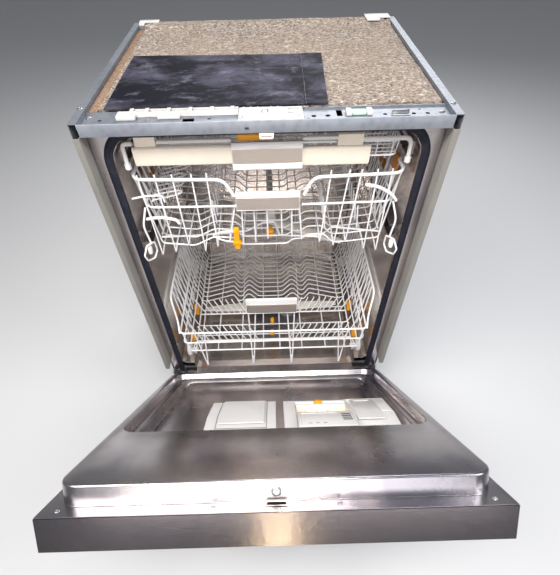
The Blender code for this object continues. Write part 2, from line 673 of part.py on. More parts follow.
def cutlery_tray(rack):
    tray = wire_basket("cutlery_tray", TRAY_LOW, TRAY_HIGH, (6, 5, 1), "coated_wire", rack, 0.003)
    for side in (-1, 1):
        for y in (grid_line(TRAY_LOW[1], TRAY_HIGH[1], 5, 1), grid_line(TRAY_LOW[1], TRAY_HIGH[1], 5, 4)):
            pin = cylinder(f"tray_roller_{side}_{y:.3f}", (side * 0.2378, y, 0.7355), 0.0070, 0.0230, "X",
                           "beige_plastic", rack, 12)
            join(tray, pin)
    fascia = box("tray_fascia", (-0.2280, 0.0360, 0.7220), (0.2280, 0.0480, 0.7560), "cream_plastic", rack)
    handle = box("tray_handle_block", (-0.0590, 0.0278, 0.7140), (0.0590, 0.0470, 0.7640), "cream_plastic",
                 rack)
    join(fascia, handle)
    box("tray_slider", (-0.0490, 0.0380, 0.7644), (0.0090, 0.0480, 0.7710), "yellow_plastic", rack, 0.001)


# ---------------------------------------------------------------- assembly
def front_plane():
    """Y of the cabinet's front plane that centres the whole machine's box on the origin."""
    above = math.radians(90.0 - DOOR_OPEN)
    tip = PIVOT_Y - DOOR_TIP * math.cos(above) + OUTER * math.sin(above)
    return -(tip + DEPTH) / 2


def build():
    machine = empty("dishwasher", None, (0, front_plane(), 0))
    cabinet = empty("cabinet", machine)
    base_tray(cabinet)
    side_panel("side_panel_left", -1, cabinet)
    side_panel("side_panel_right", 1, cabinet)
    edge_strip("edge_strip_left", -1, cabinet)
    edge_strip("edge_strip_right", 1, cabinet)
    front_rail(cabinet)
    rear_rail(cabinet)
    rear_panel(cabinet)
    tub(cabinet)
    front_frame(cabinet)
    tub_sill(cabinet)
    gasket(cabinet)
    covering(cabinet)
    latch_group(cabinet)
    hinge_brackets(cabinet)
    rails(cabinet)
    sump(cabinet)
    pumps(cabinet)
    feet(cabinet)
    filter_cylinder(cabinet)
    spray_arm("lower_spray_arm", (-0.006, SUMP_Y, 0.1660), 0.410, 0.046, 0.008, 0.0085, 0.015, cabinet)
    spray_arm("top_spray_arm", (0.0, SUMP_Y, 0.7655), 0.150, 0.040, 0.006, 0.0140, 0.001, cabinet)

    hinge_line = empty("hinge_line", machine, (0, PIVOT_Y, PIVOT_Z))
    for name, side in (("hinge_pin_left", -1), ("hinge_pin_right", 1)):
        cylinder(name, (side * 0.2755, 0, 0), 0.0036, 0.0262, "X", "steel", hinge_line, 14)

    door = empty("door", machine, (0, PIVOT_Y, PIVOT_Z), math.radians(DOOR_OPEN))
    door_outer(door)
    door_liner(door)
    detergent_unit(door)
    salt_unit(door)
    door_latch(door)

    lower_rack(empty("lower_rack", machine))
    upper = empty("upper_rack", machine)
    upper_rack(upper)
    middle = spray_arm("middle_spray_arm", (0.0, 0.265, 0.4700), 0.400, 0.044, 0.007, 0.0120, 0.001, upper)
    middle.rotation_euler = (0, 0, math.radians(-33))
    cutlery_tray(empty("tray", machine))


for leftover in list(bpy.data.objects):
    bpy.data.objects.remove(leftover, do_unlink=True)
PARTS = new_collection("dishwasher")
CUTTERS = new_collection("cutters")
build()
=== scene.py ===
"""Looks of the built-in dishwasher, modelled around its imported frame.

Cabinet coordinates have Y = 0 at the cabinet's front plane, and become world coordinates
through CABINET. Door coordinates have their origin on the hinge axis: Y is the depth into
the cabinet and Z the distance towards the door's top edge, and DOOR turns them open.
Pieces are drawn in millimetres; the mesh tools turn them into metres.
"""
import json
from math import cos, exp, pi, radians, sin

import bmesh
import bpy
from mathutils import Matrix, Vector, noise


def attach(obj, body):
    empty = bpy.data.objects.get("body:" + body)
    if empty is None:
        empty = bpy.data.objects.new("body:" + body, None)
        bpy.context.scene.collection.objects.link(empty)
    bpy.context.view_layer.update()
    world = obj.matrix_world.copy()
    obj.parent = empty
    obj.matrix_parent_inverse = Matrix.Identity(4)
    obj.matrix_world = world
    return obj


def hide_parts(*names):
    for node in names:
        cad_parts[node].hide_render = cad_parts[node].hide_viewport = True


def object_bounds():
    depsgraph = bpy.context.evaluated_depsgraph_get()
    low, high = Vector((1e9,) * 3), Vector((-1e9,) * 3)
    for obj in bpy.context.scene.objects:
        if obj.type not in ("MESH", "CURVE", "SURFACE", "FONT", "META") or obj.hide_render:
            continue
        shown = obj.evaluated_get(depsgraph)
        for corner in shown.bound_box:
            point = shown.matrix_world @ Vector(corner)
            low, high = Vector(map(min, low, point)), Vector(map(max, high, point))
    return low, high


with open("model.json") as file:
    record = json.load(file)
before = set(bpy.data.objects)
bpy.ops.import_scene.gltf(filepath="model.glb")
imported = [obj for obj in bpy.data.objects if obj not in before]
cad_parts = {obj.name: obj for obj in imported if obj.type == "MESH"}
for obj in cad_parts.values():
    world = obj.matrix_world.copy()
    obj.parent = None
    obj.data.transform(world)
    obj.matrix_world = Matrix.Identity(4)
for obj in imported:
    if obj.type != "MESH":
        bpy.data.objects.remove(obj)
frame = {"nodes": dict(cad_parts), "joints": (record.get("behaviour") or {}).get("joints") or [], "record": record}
CAD_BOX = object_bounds()
nodes = frame["nodes"]
joints = {joint["name"]: joint for joint in frame["joints"]}

PIVOT = Vector(joints["door_lower"]["pos_m"])
FRONT_Y = PIVOT.y - 0.006
CABINET = Matrix.Translation((0, FRONT_Y, 0))
DOOR = Matrix.Translation(PIVOT) @ Matrix.Rotation(radians(49), 4, "X")


# ------------------------------------------------------------------ materials
looks = {}


class Look:
    """A Principled material with the few node idioms that every finish here uses."""

    def __init__(self, name, colour, roughness, metallic=0.0, **sockets):
        self.material = bpy.data.materials.new(name)
        self.material.use_nodes = True
        self.tree = self.material.node_tree
        self.shader = self.tree.nodes["Principled BSDF"]
        self.feed(self.shader, Base_Color=(*colour, 1), Roughness=roughness, Metallic=metallic, **sockets)
        looks[name] = self

    def feed(self, node, **inputs):
        for name, value in inputs.items():
            socket = node.inputs[name.replace("_", " ")]
            if isinstance(value, bpy.types.NodeSocket):
                self.tree.links.new(value, socket)
            else:
                socket.default_value = value
        return node

    def add(self, kind, **inputs):
        return self.feed(self.tree.nodes.new(kind), **inputs)

    def place(self, scale=(1, 1, 1)):
        coordinates = self.add("ShaderNodeTexCoord")
        return self.add("ShaderNodeMapping", Vector=coordinates.outputs["Object"], Scale=scale).outputs["Vector"]

    def noise(self, scale, detail=3.0, rough=0.55, distort=0.0, stretch=(1, 1, 1)):
        return self.add("ShaderNodeTexNoise", Vector=self.place(stretch), Scale=scale, Detail=detail, Roughness=rough,
                Distortion=distort).outputs["Fac"]

    def cells(self, scale):
        return self.add("ShaderNodeTexVoronoi", Vector=self.place(), Scale=scale).outputs["Distance"]

    def ramp(self, fac, *stops):
        node = self.add("ShaderNodeValToRGB", Fac=fac)
        for element, (place, value) in zip(node.color_ramp.elements, stops):
            element.position = place
            element.color = (value, value, value, 1)
        return node.outputs["Color"]

    def mix(self, fac, first, second):
        node = self.tree.nodes.new("ShaderNodeMix")
        node.data_type = "RGBA"
        for index, value in ((0, fac), (6, first), (7, second)):
            if isinstance(value, bpy.types.NodeSocket):
                self.tree.links.new(value, node.inputs[index])
            else:
                node.inputs[index].default_value = (*value, 1)
        return node.outputs[2]

    def fade(self, fac, start, end, first, second):
        """Mix of two colours by a ramp over a texture; start and end are (position, share)."""
        return self.mix(self.ramp(fac, start, end), first, second)

    def paint(self, colour):
        self.feed(self.shader, Base_Color=colour)

    def vary(self, fac, low, high):
        """Roughness that runs from low to high with a texture."""
        node = self.add("ShaderNodeMapRange", Value=fac, To_Min=low, To_Max=high)
        self.feed(self.shader, Roughness=node.outputs["Result"])
        return self

    def bump(self, height, strength, distance):
        node = self.add("ShaderNodeBump", Height=height, Strength=strength, Distance=distance)
        if self.shader.inputs["Normal"].is_linked:
            self.feed(node, Normal=self.shader.inputs["Normal"].links[0].from_socket)
        self.feed(self.shader, Normal=node.outputs["Normal"])
        return self


def shade(colour, factor):
    return tuple(min(1.0, channel * factor) for channel in colour)


def brushed(name, colour, roughness, stretch, spread, wear, scale=40.0, fleck=0.0, smudge_and_reflection=0.0):
    """Brushed sheet metal: fine grain along one direction, cloudy wear, and where asked marks, or a bluish dark cast
    that is partly real smudging and partly painted dark reflection.
    """
    look = Look(name, colour, roughness, 1.0)
    grain = look.noise(scale, 4.0, 0.7, stretch=stretch)
    cloud = look.noise(5.0, 4.0, 0.6, 0.4)
    fine = look.fade(grain, (0.3, 0.0), (0.7, 1.0), shade(colour, 1 - spread), shade(colour, 1 + spread))
    worn = look.fade(cloud, (0.45, 0.0), (0.75, wear), fine, shade(colour, 0.66))
    if fleck:
        marks = look.noise(900.0, 2.0, 0.6)
        worn = look.fade(marks, (0.58, 0.0), (0.7, fleck), worn, (0.86, 0.83, 0.84))
    # Bluish dark cast: partly real smudging, partly painted dark reflection.
    if smudge_and_reflection:
        smudge_reflection_mask = look.noise(4.2, 3.0, 0.55, 0.3, stretch=(1.6, 1, 1))
        worn = look.fade(smudge_reflection_mask, (0.42, 0.0), (0.66, smudge_and_reflection), worn, (0.2, 0.2, 0.25))
    look.paint(worn)
    look.vary(cloud, roughness * 0.75, roughness * 1.45)
    look.bump(grain, 0.06, 0.0004)


def moulded(name, colour, roughness, tint=0.1, soil=None):
    """Moulded plastic: fine satin grain, a little uneven in colour and gloss."""
    look = Look(name, colour, roughness, 0.0)
    cloud = look.noise(14.0, 3.0)
    base = look.fade(cloud, (0.35, 0.0), (0.7, 1.0), shade(colour, 1 - tint), shade(colour, 1 + tint / 2))
    if soil:
        spots = look.noise(60.0, 5.0, 0.65)
        base = look.fade(spots, (0.58, 0.0), (0.8, 0.55), base, soil)
    look.paint(base)
    look.vary(cloud, roughness * 0.8, roughness * 1.25)
    look.bump(look.noise(420.0, 2.0), 0.05, 0.0003)


def make_looks():
    galvanised = Look("galvanised", (0.18, 0.21, 0.26), 0.4, 0.55)
    spangle = galvanised.cells(90.0)
    cloud = galvanised.noise(9.0, 4.0, 0.6)
    flake = galvanised.fade(spangle, (0.0, 0.0), (0.7, 1.0), (0.175, 0.19, 0.222), (0.235, 0.252, 0.288))
    galvanised.paint(galvanised.fade(cloud, (0.4, 0.0), (0.8, 0.5), flake, (0.29, 0.31, 0.35)))
    galvanised.vary(cloud, 0.34, 0.55).bump(spangle, 0.05, 0.0004)

    # The stainless gets a bluish dark cast that is partly smudging and partly painted dark reflection.
    brushed("stainless", (0.62, 0.57, 0.565), 0.24, (3, 160, 160), 0.14, 0.5, smudge_and_reflection=0.7)
    brushed("door_front", (0.27, 0.24, 0.25), 0.18, (3, 160, 160), 0.2, 0.5, fleck=0.4)
    brushed("tub_steel", (0.66, 0.61, 0.575), 0.19, (60, 60, 2), 0.24, 0.5, 20.0)
    brushed("handle_steel", (0.78, 0.7, 0.64), 0.38, (3, 200, 200), 0.14, 0.3)
    brushed("steel", (0.42, 0.42, 0.43), 0.33, (30, 30, 30), 0.12, 0.6)

    moulded("white_plastic", (0.6, 0.585, 0.565), 0.38)
    moulded("bright_plastic", (0.74, 0.72, 0.715), 0.33, tint=0.06)
    moulded("cream_plastic", (0.88, 0.79, 0.67), 0.42, tint=0.06, soil=(0.8, 0.7, 0.57))
    moulded("beige_plastic", (0.27, 0.258, 0.24), 0.48, soil=(0.34, 0.3, 0.26))
    moulded("arm_plastic", (0.78, 0.74, 0.68), 0.42)
    moulded("grey_plastic", (0.2, 0.2, 0.21), 0.52)
    moulded("black_plastic", (0.03, 0.03, 0.034), 0.5)
    moulded("yellow_plastic", (0.86, 0.36, 0.0), 0.36)
    moulded("amber_strip", (0.5, 0.17, 0.01), 0.3, tint=0.3)
    moulded("green_plastic", (0.5, 0.72, 0.6), 0.3)

    rubber = Look("gasket_rubber", (0.01, 0.011, 0.02), 0.6, Specular_IOR_Level=0.3)
    dust = rubber.noise(40.0, 5.0, 0.65)
    rubber.paint(rubber.fade(dust, (0.5, 0.0), (0.85, 0.6), (0.01, 0.011, 0.021), (0.045, 0.048, 0.066)))
    rubber.vary(dust, 0.5, 0.75).bump(rubber.noise(300.0, 3.0), 0.08, 0.0004)

    wire = Look("coated_wire", (0.86, 0.86, 0.86), 0.28, Coat_Weight=0.3)
    stain = wire.noise(30.0, 4.0)
    wire.paint(wire.fade(stain, (0.45, 0.0), (0.8, 0.6), (0.84, 0.84, 0.86), (0.66, 0.62, 0.58)))
    wire.vary(stain, 0.22, 0.42).bump(wire.noise(260.0, 2.0), 0.05, 0.0003)

    felt = Look("felt", (0.3, 0.23, 0.16), 0.96, Specular_IOR_Level=0.1)
    speck = felt.noise(160.0, 5.0, 0.75)
    fibre = felt.noise(170.0, 3.0, 0.65, 1.8, stretch=(0.3, 1, 1))
    strand = felt.noise(160.0, 3.0, 0.65, 1.8, stretch=(1, 0.28, 1))
    patch = felt.noise(5.0, 6.0, 0.65)
    crumbs = felt.cells(95.0)
    mottled = felt.fade(speck, (0.38, 0.0), (0.62, 1.0), (0.1, 0.083, 0.069), (0.42, 0.35, 0.3))
    warm = felt.fade(patch, (0.4, 0.0), (0.7, 0.65), mottled, (0.31, 0.235, 0.185))
    dark = felt.fade(crumbs, (0.08, 0.9), (0.22, 0.0), warm, (0.05, 0.04, 0.03))
    pale = felt.fade(fibre, (0.58, 0.0), (0.68, 0.85), dark, (0.74, 0.66, 0.57))
    felt.paint(felt.fade(strand, (0.6, 0.0), (0.7, 0.8), pale, (0.68, 0.6, 0.51)))
    felt.bump(speck, 0.9, 0.0025).bump(fibre, 0.6, 0.0012)

    edge = Look("felt_edge", (0.24, 0.14, 0.08), 0.97)
    rust = edge.noise(320.0, 4.0, 0.7)
    edge.paint(edge.fade(rust, (0.35, 0.0), (0.7, 1.0), (0.13, 0.075, 0.045), (0.36, 0.23, 0.15)))
    edge.bump(rust, 0.8, 0.0015)

    bitumen = Look("bitumen", (0.02, 0.021, 0.027), 0.7, Specular_IOR_Level=0.04)
    smear = bitumen.noise(9.0, 8.0, 0.7, 0.25, stretch=(1, 1.3, 1))
    chalk = bitumen.noise(22.0, 8.0, 0.78, 0.3, stretch=(1, 1.5, 1))
    grey = bitumen.fade(smear, (0.43, 0.0), (0.7, 1.0), (0.008, 0.008, 0.013), (0.1, 0.096, 0.135))
    bitumen.paint(bitumen.fade(chalk, (0.54, 0.0), (0.74, 0.5), grey, (0.3, 0.3, 0.38)))
    bitumen.vary(smear, 0.5, 0.78).bump(bitumen.noise(130.0, 5.0), 0.25, 0.0008)

    chalk_line = Look("chalk", (0.42, 0.42, 0.46), 0.85)
    scuff = chalk_line.noise(500.0, 5.0, 0.8)
    chalk_line.paint(chalk_line.fade(scuff, (0.5, 0.0), (0.66, 1.0), (0.02, 0.02, 0.03), (0.55, 0.55, 0.6)))


make_looks()
for cad_slot in frame["record"]["materials"]:
    for entry in frame["record"]["subparts"]:
        if entry["material_slot"] == cad_slot["slot"]:
            mesh = nodes[entry["node"]].data
            mesh.materials.clear()
            mesh.materials.append(looks[cad_slot["slot"]].material)


# ------------------------------------------------------------------ mesh tools
MM = 0.001


def finish_piece(name, bm, look, body, place=CABINET, smooth=35, swap=None):
    """Make the mesh an object in place, let it ride on its body and name its finish."""
    mesh = bpy.data.meshes.new(name)
    bm.to_mesh(mesh)
    bm.free()
    mesh.shade_smooth()
    mesh.set_sharp_from_angle(angle=radians(smooth))
    mesh.materials.append(looks[look].material)
    obj = bpy.data.objects.new(name, mesh)
    bpy.context.scene.collection.objects.link(obj)
    obj.matrix_world = place
    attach(obj, body)
    if swap:
        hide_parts(swap)
    return obj


def fillet(points, radius, steps=3, closed=False):
    """The polyline with each corner rounded."""
    points = [Vector(point) for point in points]
    count = len(points)
    out = []
    for i, point in enumerate(points):
        if not closed and i in (0, count - 1):
            out.append(point)
            continue
        before, after = points[i - 1] - point, points[(i + 1) % count] - point
        reach = min(radius, before.length * 0.45, after.length * 0.45)
        start, end = point + before.normalized() * reach, point + after.normalized() * reach
        for step in range(steps + 1):
            t = step / steps
            out.append(start * (1 - t) ** 2 + point * 2 * t * (1 - t) + end * t ** 2)
    return out


def tube(bm, path, radius, closed=False, sides=7):
    """Round wire along a path, with flat ends."""
    path = [Vector(point) for point in path]
    count = len(path)
    rings = []
    normal = None
    for i, point in enumerate(path):
        ahead = path[(i + 1) % count] if closed or i + 1 < count else point
        behind = path[i - 1] if closed or i else point
        along = (ahead - behind).normalized()
        if normal is None:
            normal = along.orthogonal().normalized()
        normal = (normal - along * normal.dot(along)).normalized()
        across = along.cross(normal)
        rings.append([bm.verts.new(MM * (point + radius * (normal * cos(angle) + across * sin(angle))))
                for angle in (2 * pi * k / sides for k in range(sides))])
    pairs = list(zip(rings, rings[1:])) + ([(rings[-1], rings[0])] if closed else [])
    for first, second in pairs:
        for k in range(sides):
            bm.faces.new((first[k], first[(k + 1) % sides], second[(k + 1) % sides], second[k]))
    if not closed:
        bm.faces.new(list(reversed(rings[0])))
        bm.faces.new(rings[-1])


def bent(bm, points, radius, bend=10, closed=False, steps=3, sides=7):
    """Round wire through points, bent with the given radius at each corner."""
    tube(bm, fillet(points, bend, steps, closed), radius, closed, sides)


def rbox(bm, low, high, edge=0.8, segments=2):
    """Box with rounded edges."""
    low, high = MM * Vector(low), MM * Vector(high)
    place = Matrix.Translation((low + high) / 2) @ Matrix.Diagonal((*(high - low), 1.0))
    verts = bmesh.ops.create_cube(bm, size=1.0, matrix=place)["verts"]
    edges = list(dict.fromkeys(link for vert in verts for link in vert.link_edges))
    if edge:
        bmesh.ops.bevel(bm, geom=edges, offset=edge * MM, segments=segments, affect="EDGES", profile=0.5)


def prism(bm, outline, low, high, axis="X", edge=0):
    """Outline in the other two axes, drawn out along one axis, with softened end edges."""
    def at(u, v, w):
        return MM * Vector({"X": (w, u, v), "Y": (u, w, v), "Z": (u, v, w)}[axis])
    first = [bm.verts.new(at(u, v, low)) for u, v in outline]
    second = [bm.verts.new(at(u, v, high)) for u, v in outline]
    count = len(outline)
    faces = [bm.faces.new(first), bm.faces.new(list(reversed(second)))]
    for i in range(count):
        faces.append(bm.faces.new((first[i], second[i], second[(i + 1) % count], first[(i + 1) % count])))
    bmesh.ops.recalc_face_normals(bm, faces=faces)
    if edge:
        rims = list(dict.fromkeys(link for face in faces[:2] for link in face.edges))
        bmesh.ops.bevel(bm, geom=rims, offset=edge * MM, segments=2, affect="EDGES", profile=0.5)


AXES = {"X": Matrix.Rotation(pi / 2, 4, "Y"), "Y": Matrix.Rotation(-pi / 2, 4, "X"), "Z": Matrix.Identity(4)}


def lathe(bm, profile, place, axis="Z", steps=24):
    """Closed turned shape from (radius, height) points."""
    turn = Matrix.Translation(MM * Vector(place)) @ AXES[axis] @ Matrix.Scale(MM, 4)
    rings = []
    for radius, height in profile:
        angles = [2 * pi * k / steps for k in range(steps)] if radius else [0]
        rings.append([bm.verts.new(turn @ Vector((radius * cos(a), radius * sin(a), height))) for a in angles])
    faces = []
    for first, second in zip(rings, rings[1:]):
        for k in range(steps):
            j = (k + 1) % steps
            corners = [first[0 if len(first) == 1 else k], first[0 if len(first) == 1 else j],
                    second[0 if len(second) == 1 else j], second[0 if len(second) == 1 else k]]
            distinct = list(dict.fromkeys(corners))
            if len(distinct) > 2:
                faces.append(bm.faces.new(distinct))
    bmesh.ops.recalc_face_normals(bm, faces=faces)


def screw_head(bm, place, radius, axis="Z", height=1.6):
    """Domed screw head with a recess."""
    lathe(bm, [(0, -0.4), (radius, -0.4), (radius, height * 0.35), (radius * 0.86, height * 0.75),
            (radius * 0.45, height), (radius * 0.36, height * 0.45), (0, height * 0.4)], place, axis, 14)


def ring_outline(half, low, high, radius, steps):
    """Rounded rectangle centred on X = 0, as (x, z) points."""
    points = []
    for x, z, start in ((half - radius, low + radius, -90), (half - radius, high - radius, 0),
            (-half + radius, high - radius, 90), (-half + radius, low + radius, 180)):
        for step in range(steps + 1):
            angle = radians(start + 90 * step / steps)
            points.append((x + radius * cos(angle), z + radius * sin(angle)))
    return points


def loft(bm, rings, caps=(0, -1)):
    """Skin between rings of equal length, closed at the rings that caps names."""
    made = [[bm.verts.new(MM * Vector(point)) for point in ring] for ring in rings]
    count = len(made[0])
    for first, second in zip(made, made[1:]):
        for i in range(count):
            j = (i + 1) % count
            bm.faces.new((first[i], first[j], second[j], second[i]))
    for cap in caps:
        bm.faces.new(made[cap])
    bmesh.ops.recalc_face_normals(bm, faces=bm.faces)


def slab(bm, across, along, place):
    """Thin slab between two grids; place gives a grid's point from (layer, column, row)."""
    grid = {(layer, i, j): bm.verts.new(MM * place(layer, i, j)) for layer in (0, 1) for i in range(across + 1)
            for j in range(along + 1)}
    for layer in (0, 1):
        for i in range(across):
            for j in range(along):
                face = [grid[layer, i, j], grid[layer, i + 1, j], grid[layer, i + 1, j + 1], grid[layer, i, j + 1]]
                bm.faces.new(face if layer else face[::-1])
    rim = [(i, 0) for i in range(across)] + [(across, j) for j in range(along)]
    rim += [(i, along) for i in range(across, 0, -1)] + [(0, j) for j in range(along, 0, -1)]
    for (a, b), (c, d) in zip(rim, rim[1:] + rim[:1]):
        bm.faces.new((grid[0, a, b], grid[0, c, d], grid[1, c, d], grid[1, a, b]))


def pierced(bm, outer, holes, z, thickness):
    """Flat plate with holes, lying in X and Y, its top at z."""
    edges = []
    for loop in (outer, *holes):
        verts = [bm.verts.new(MM * Vector((x, y, z))) for x, y in loop]
        edges += [bm.edges.new((verts[i - 1], verts[i])) for i in range(len(verts))]
    filled = bmesh.ops.triangle_fill(bm, use_beauty=True, use_dissolve=False, edges=edges)["geom"]
    faces = [item for item in filled if isinstance(item, bmesh.types.BMFace)]
    moved = bmesh.ops.extrude_face_region(bm, geom=faces, use_keep_orig=True)["geom"]
    for vert in (item for item in moved if isinstance(item, bmesh.types.BMVert)):
        vert.co.z -= thickness * MM
    bmesh.ops.recalc_face_normals(bm, faces=bm.faces)


def circle(x, y, radius, steps=16):
    return [(x + radius * cos(2 * pi * i / steps), y + radius * sin(2 * pi * i / steps)) for i in range(steps)]


def oblong(x0, x1, y0, y1):
    return [(x0, y0), (x1, y0), (x1, y1), (x0, y1)]


# ------------------------------------------------------------------ top of the cabinet
MAT_LOW, MAT_HIGH = Vector((-270, 59, 795)), Vector((285, 538, 801.5))
REAR_RAIL_TOP = 804.3


def ripple(x, y, scale, seed):
    """Smooth noise between about -1 and 1; scale is in waves per metre."""
    return noise.noise(Vector((x * MM * scale, y * MM * scale, seed)))


def clamp(value):
    return min(1.0, max(0.0, value))


def felt_mat():
    """Needle felt over the tub: an uneven slab with torn edges and a fold along its right side."""
    across, along = 111, 92
    torn, fold = 0.06, 273.5

    def place(layer, i, j):
        u, v = i / across, j / along
        x, y = MAT_LOW.x + (MAT_HIGH.x - MAT_LOW.x) * u, MAT_LOW.y + (MAT_HIGH.y - MAT_LOW.y) * v
        rim = min(u * across, (1 - u) * across, v * along, (1 - v) * along)
        if v < torn:
            side = clamp((x - 90) / 30) + clamp((-195 - x) / 20)
            y += (1 - v / torn) * (2 + 8 * side + 3 * ripple(x, 0, 26, 3))
        if rim < 3:
            x += 1.2 * ripple(x, y, 90, 5)
        over_rail = clamp((y - 495) / 18)
        if not layer:
            return Vector((x, y, MAT_LOW.z + (REAR_RAIL_TOP - MAT_LOW.z) * over_rail))
        z = MAT_HIGH.z + 6.2 * over_rail + 1.0 * ripple(x, y, 22, 1) + 0.6 * ripple(x, y, 120, 2)
        z -= 2.4 * exp(-((x - fold) / 2.2) ** 2) + (1.2 if x > fold else 0)
        return Vector((x, y, z - 1.6 * max(0.0, 1 - rim / 2)))
    bm = bmesh.new()
    slab(bm, across, along, place)
    mat = finish_piece("felt_mat", bm, "felt", "cabinet", swap="insulation_mat")


def felt_margin():
    """Rust-stained strip of felt that shows between the mat and the left wall."""
    bm = bmesh.new()
    steps = 60
    outline = [(-285.5, MAT_LOW.y + 4)]
    for i in range(steps + 1):
        y = MAT_LOW.y + 4 + (MAT_HIGH.y - MAT_LOW.y - 6) * i / steps
        outline.append((-271.2 + 1.2 * ripple(0, y, 60, 7), y))
    outline.append((-285.5, MAT_HIGH.y - 2))
    prism(bm, outline, 795, 798.8, "Z", 0.4)
    finish_piece("felt_margin", bm, "felt_edge", "cabinet")


def bitumen_sheet():
    """Heavy bitumen sheet laid on the mat, with a lapped seam near its right side."""
    corners = [Vector(corner) for corner in ((-258.5, 60, 0), (99, 60, 0), (109, 297.5, 0), (-258.5, 313, 0))]
    across, along = 60, 42

    def place(layer, i, j):
        u, v = i / across, j / along
        point = (corners[0] * (1 - u) + corners[1] * u) * (1 - v)
        point += (corners[3] * (1 - u) + corners[2] * u) * v
        point.z = 801.9 + 0.5 * ripple(point.x, point.y, 14, 9) + 4 * max(0, u + v - 1.8)
        if layer:
            point.z += 1.8 + (0.7 if point.x > 64.6 + 5.5 * v else 0)
        return point
    bm = bmesh.new()
    slab(bm, across, along, place)
    finish_piece("bitumen_cover", bm, "bitumen", "cabinet", swap="bitumen_sheet")
    bm = bmesh.new()
    path = [(64 + 5.5 * t + 0.6 * ripple(0, t / MM, 9, 4), 60.6 + 238 * t, 804) for t in (i / 40 for i in range(41))]
    tube(bm, path, 0.6, sides=5)
    finish_piece("bitumen_seam", bm, "chalk", "cabinet")


RAIL_TOP = 804.4
RAIL_FLOOR = 797.5


def front_rail():
    """Folded cross rail: a hemmed lip in front, a punched floor behind it, and its screws."""
    bm = bmesh.new()
    holes = [circle(x, y, r) for x, y, r in ((-230, 33, 2.6), (-89, 30, 3), (74.1, 30, 4.2), (95.9, 30, 4.2),
            (185, 30, 3.4), (229.9, 30, 3.6), (251.7, 30, 3.6), (-260, 33, 3.4), (204, 44, 2.6), (242, 45, 2.4))]
    holes += [oblong(110, 119, 27, 50), oblong(-130, -112, 20, 33), oblong(62, 68, 18, 23), oblong(140, 160, 15, 21)]
    pierced(bm, oblong(-285.8, 285.8, 3.4, 56), holes, RAIL_FLOOR, 1)
    lip = [(0.4, 787), (0.4, 803.8), (1, RAIL_TOP + 0.3), (2.6, RAIL_TOP + 0.3), (3.4, 803.6), (3.4, RAIL_FLOOR - 1),
            (2.4, RAIL_FLOOR - 1), (2, 803), (1.4, 803), (1.4, 787)]
    prism(bm, lip, -285.8, 285.8)
    prism(bm, [(1.4, 787), (1.4, 788), (27, 788), (27, 787)], -285.8, 285.8)
    for left, right in ((-285.8, -216), (62, 285.8)):
        prism(bm, [(54.5, RAIL_FLOOR), (54.5, RAIL_FLOOR + 3), (56, RAIL_FLOOR + 3), (56, RAIL_FLOOR)], left, right)
    finish_piece("front_rail_sheet", bm, "galvanised", "cabinet", swap="top_front_rail")
    bm = bmesh.new()
    for x, y, r in ((-293.8, 57.8, 4.2), (293, 43, 4.2)):
        screw_head(bm, (x, y, 805.1), r)
    for x, y, r in ((-279, 42.1, 4.2), (274.6, 32.5, 4.6), (214, 36, 3.8), (-129, 53, 3), (-185, 30, 3)):
        screw_head(bm, (x, y, RAIL_FLOOR + 0.4), r)
    finish_piece("rail_screws", bm, "steel", "cabinet")
    bm = bmesh.new()
    # Black plate on the lip's face stands for a slot's dark opening: painted shade.
    prism(bm, oblong(-27, -33, 793, 795.5), -0.4, 0.8, "Y")
    finish_piece("rail_slot_painted_shade", bm, "black_plastic", "cabinet")


def rail_clips():
    """Small fittings that sit on the front rail."""
    floor = RAIL_FLOOR + 0.3
    bm = bmesh.new()
    rbox(bm, (-233, 28, floor), (-203, 49, floor + 6.2), 1.2)
    rbox(bm, (-229, 31, floor + 6.2), (-207, 38, floor + 8.8), 0.8)
    rbox(bm, (-169, 30, floor), (-134, 38.5, floor + 5), 1)
    rbox(bm, (124, 25, floor), (133, 42, floor + 6), 1)
    rbox(bm, (156, 25, floor), (165, 42, floor + 6), 1)
    finish_piece("rail_clips_white", bm, "white_plastic", "cabinet")
    bm = bmesh.new()
    rbox(bm, (-161, 32, floor + 4), (-144, 37, floor + 7.2), 1.2)
    rbox(bm, (133.5, 27, floor), (155.5, 40, floor + 5), 1.4)
    finish_piece("rail_clips_pale", bm, "green_plastic", "cabinet")
    bm = bmesh.new()
    rbox(bm, (195, 21, floor), (222, 30, floor + 1.2), 0.3)
    rbox(bm, (195, 29, floor), (222, 30.2, floor + 6), 0.3)
    rbox(bm, (-192, 40, floor), (-178, 52, floor + 1.4), 0.3)
    finish_piece("rail_brackets", bm, "steel", "cabinet")


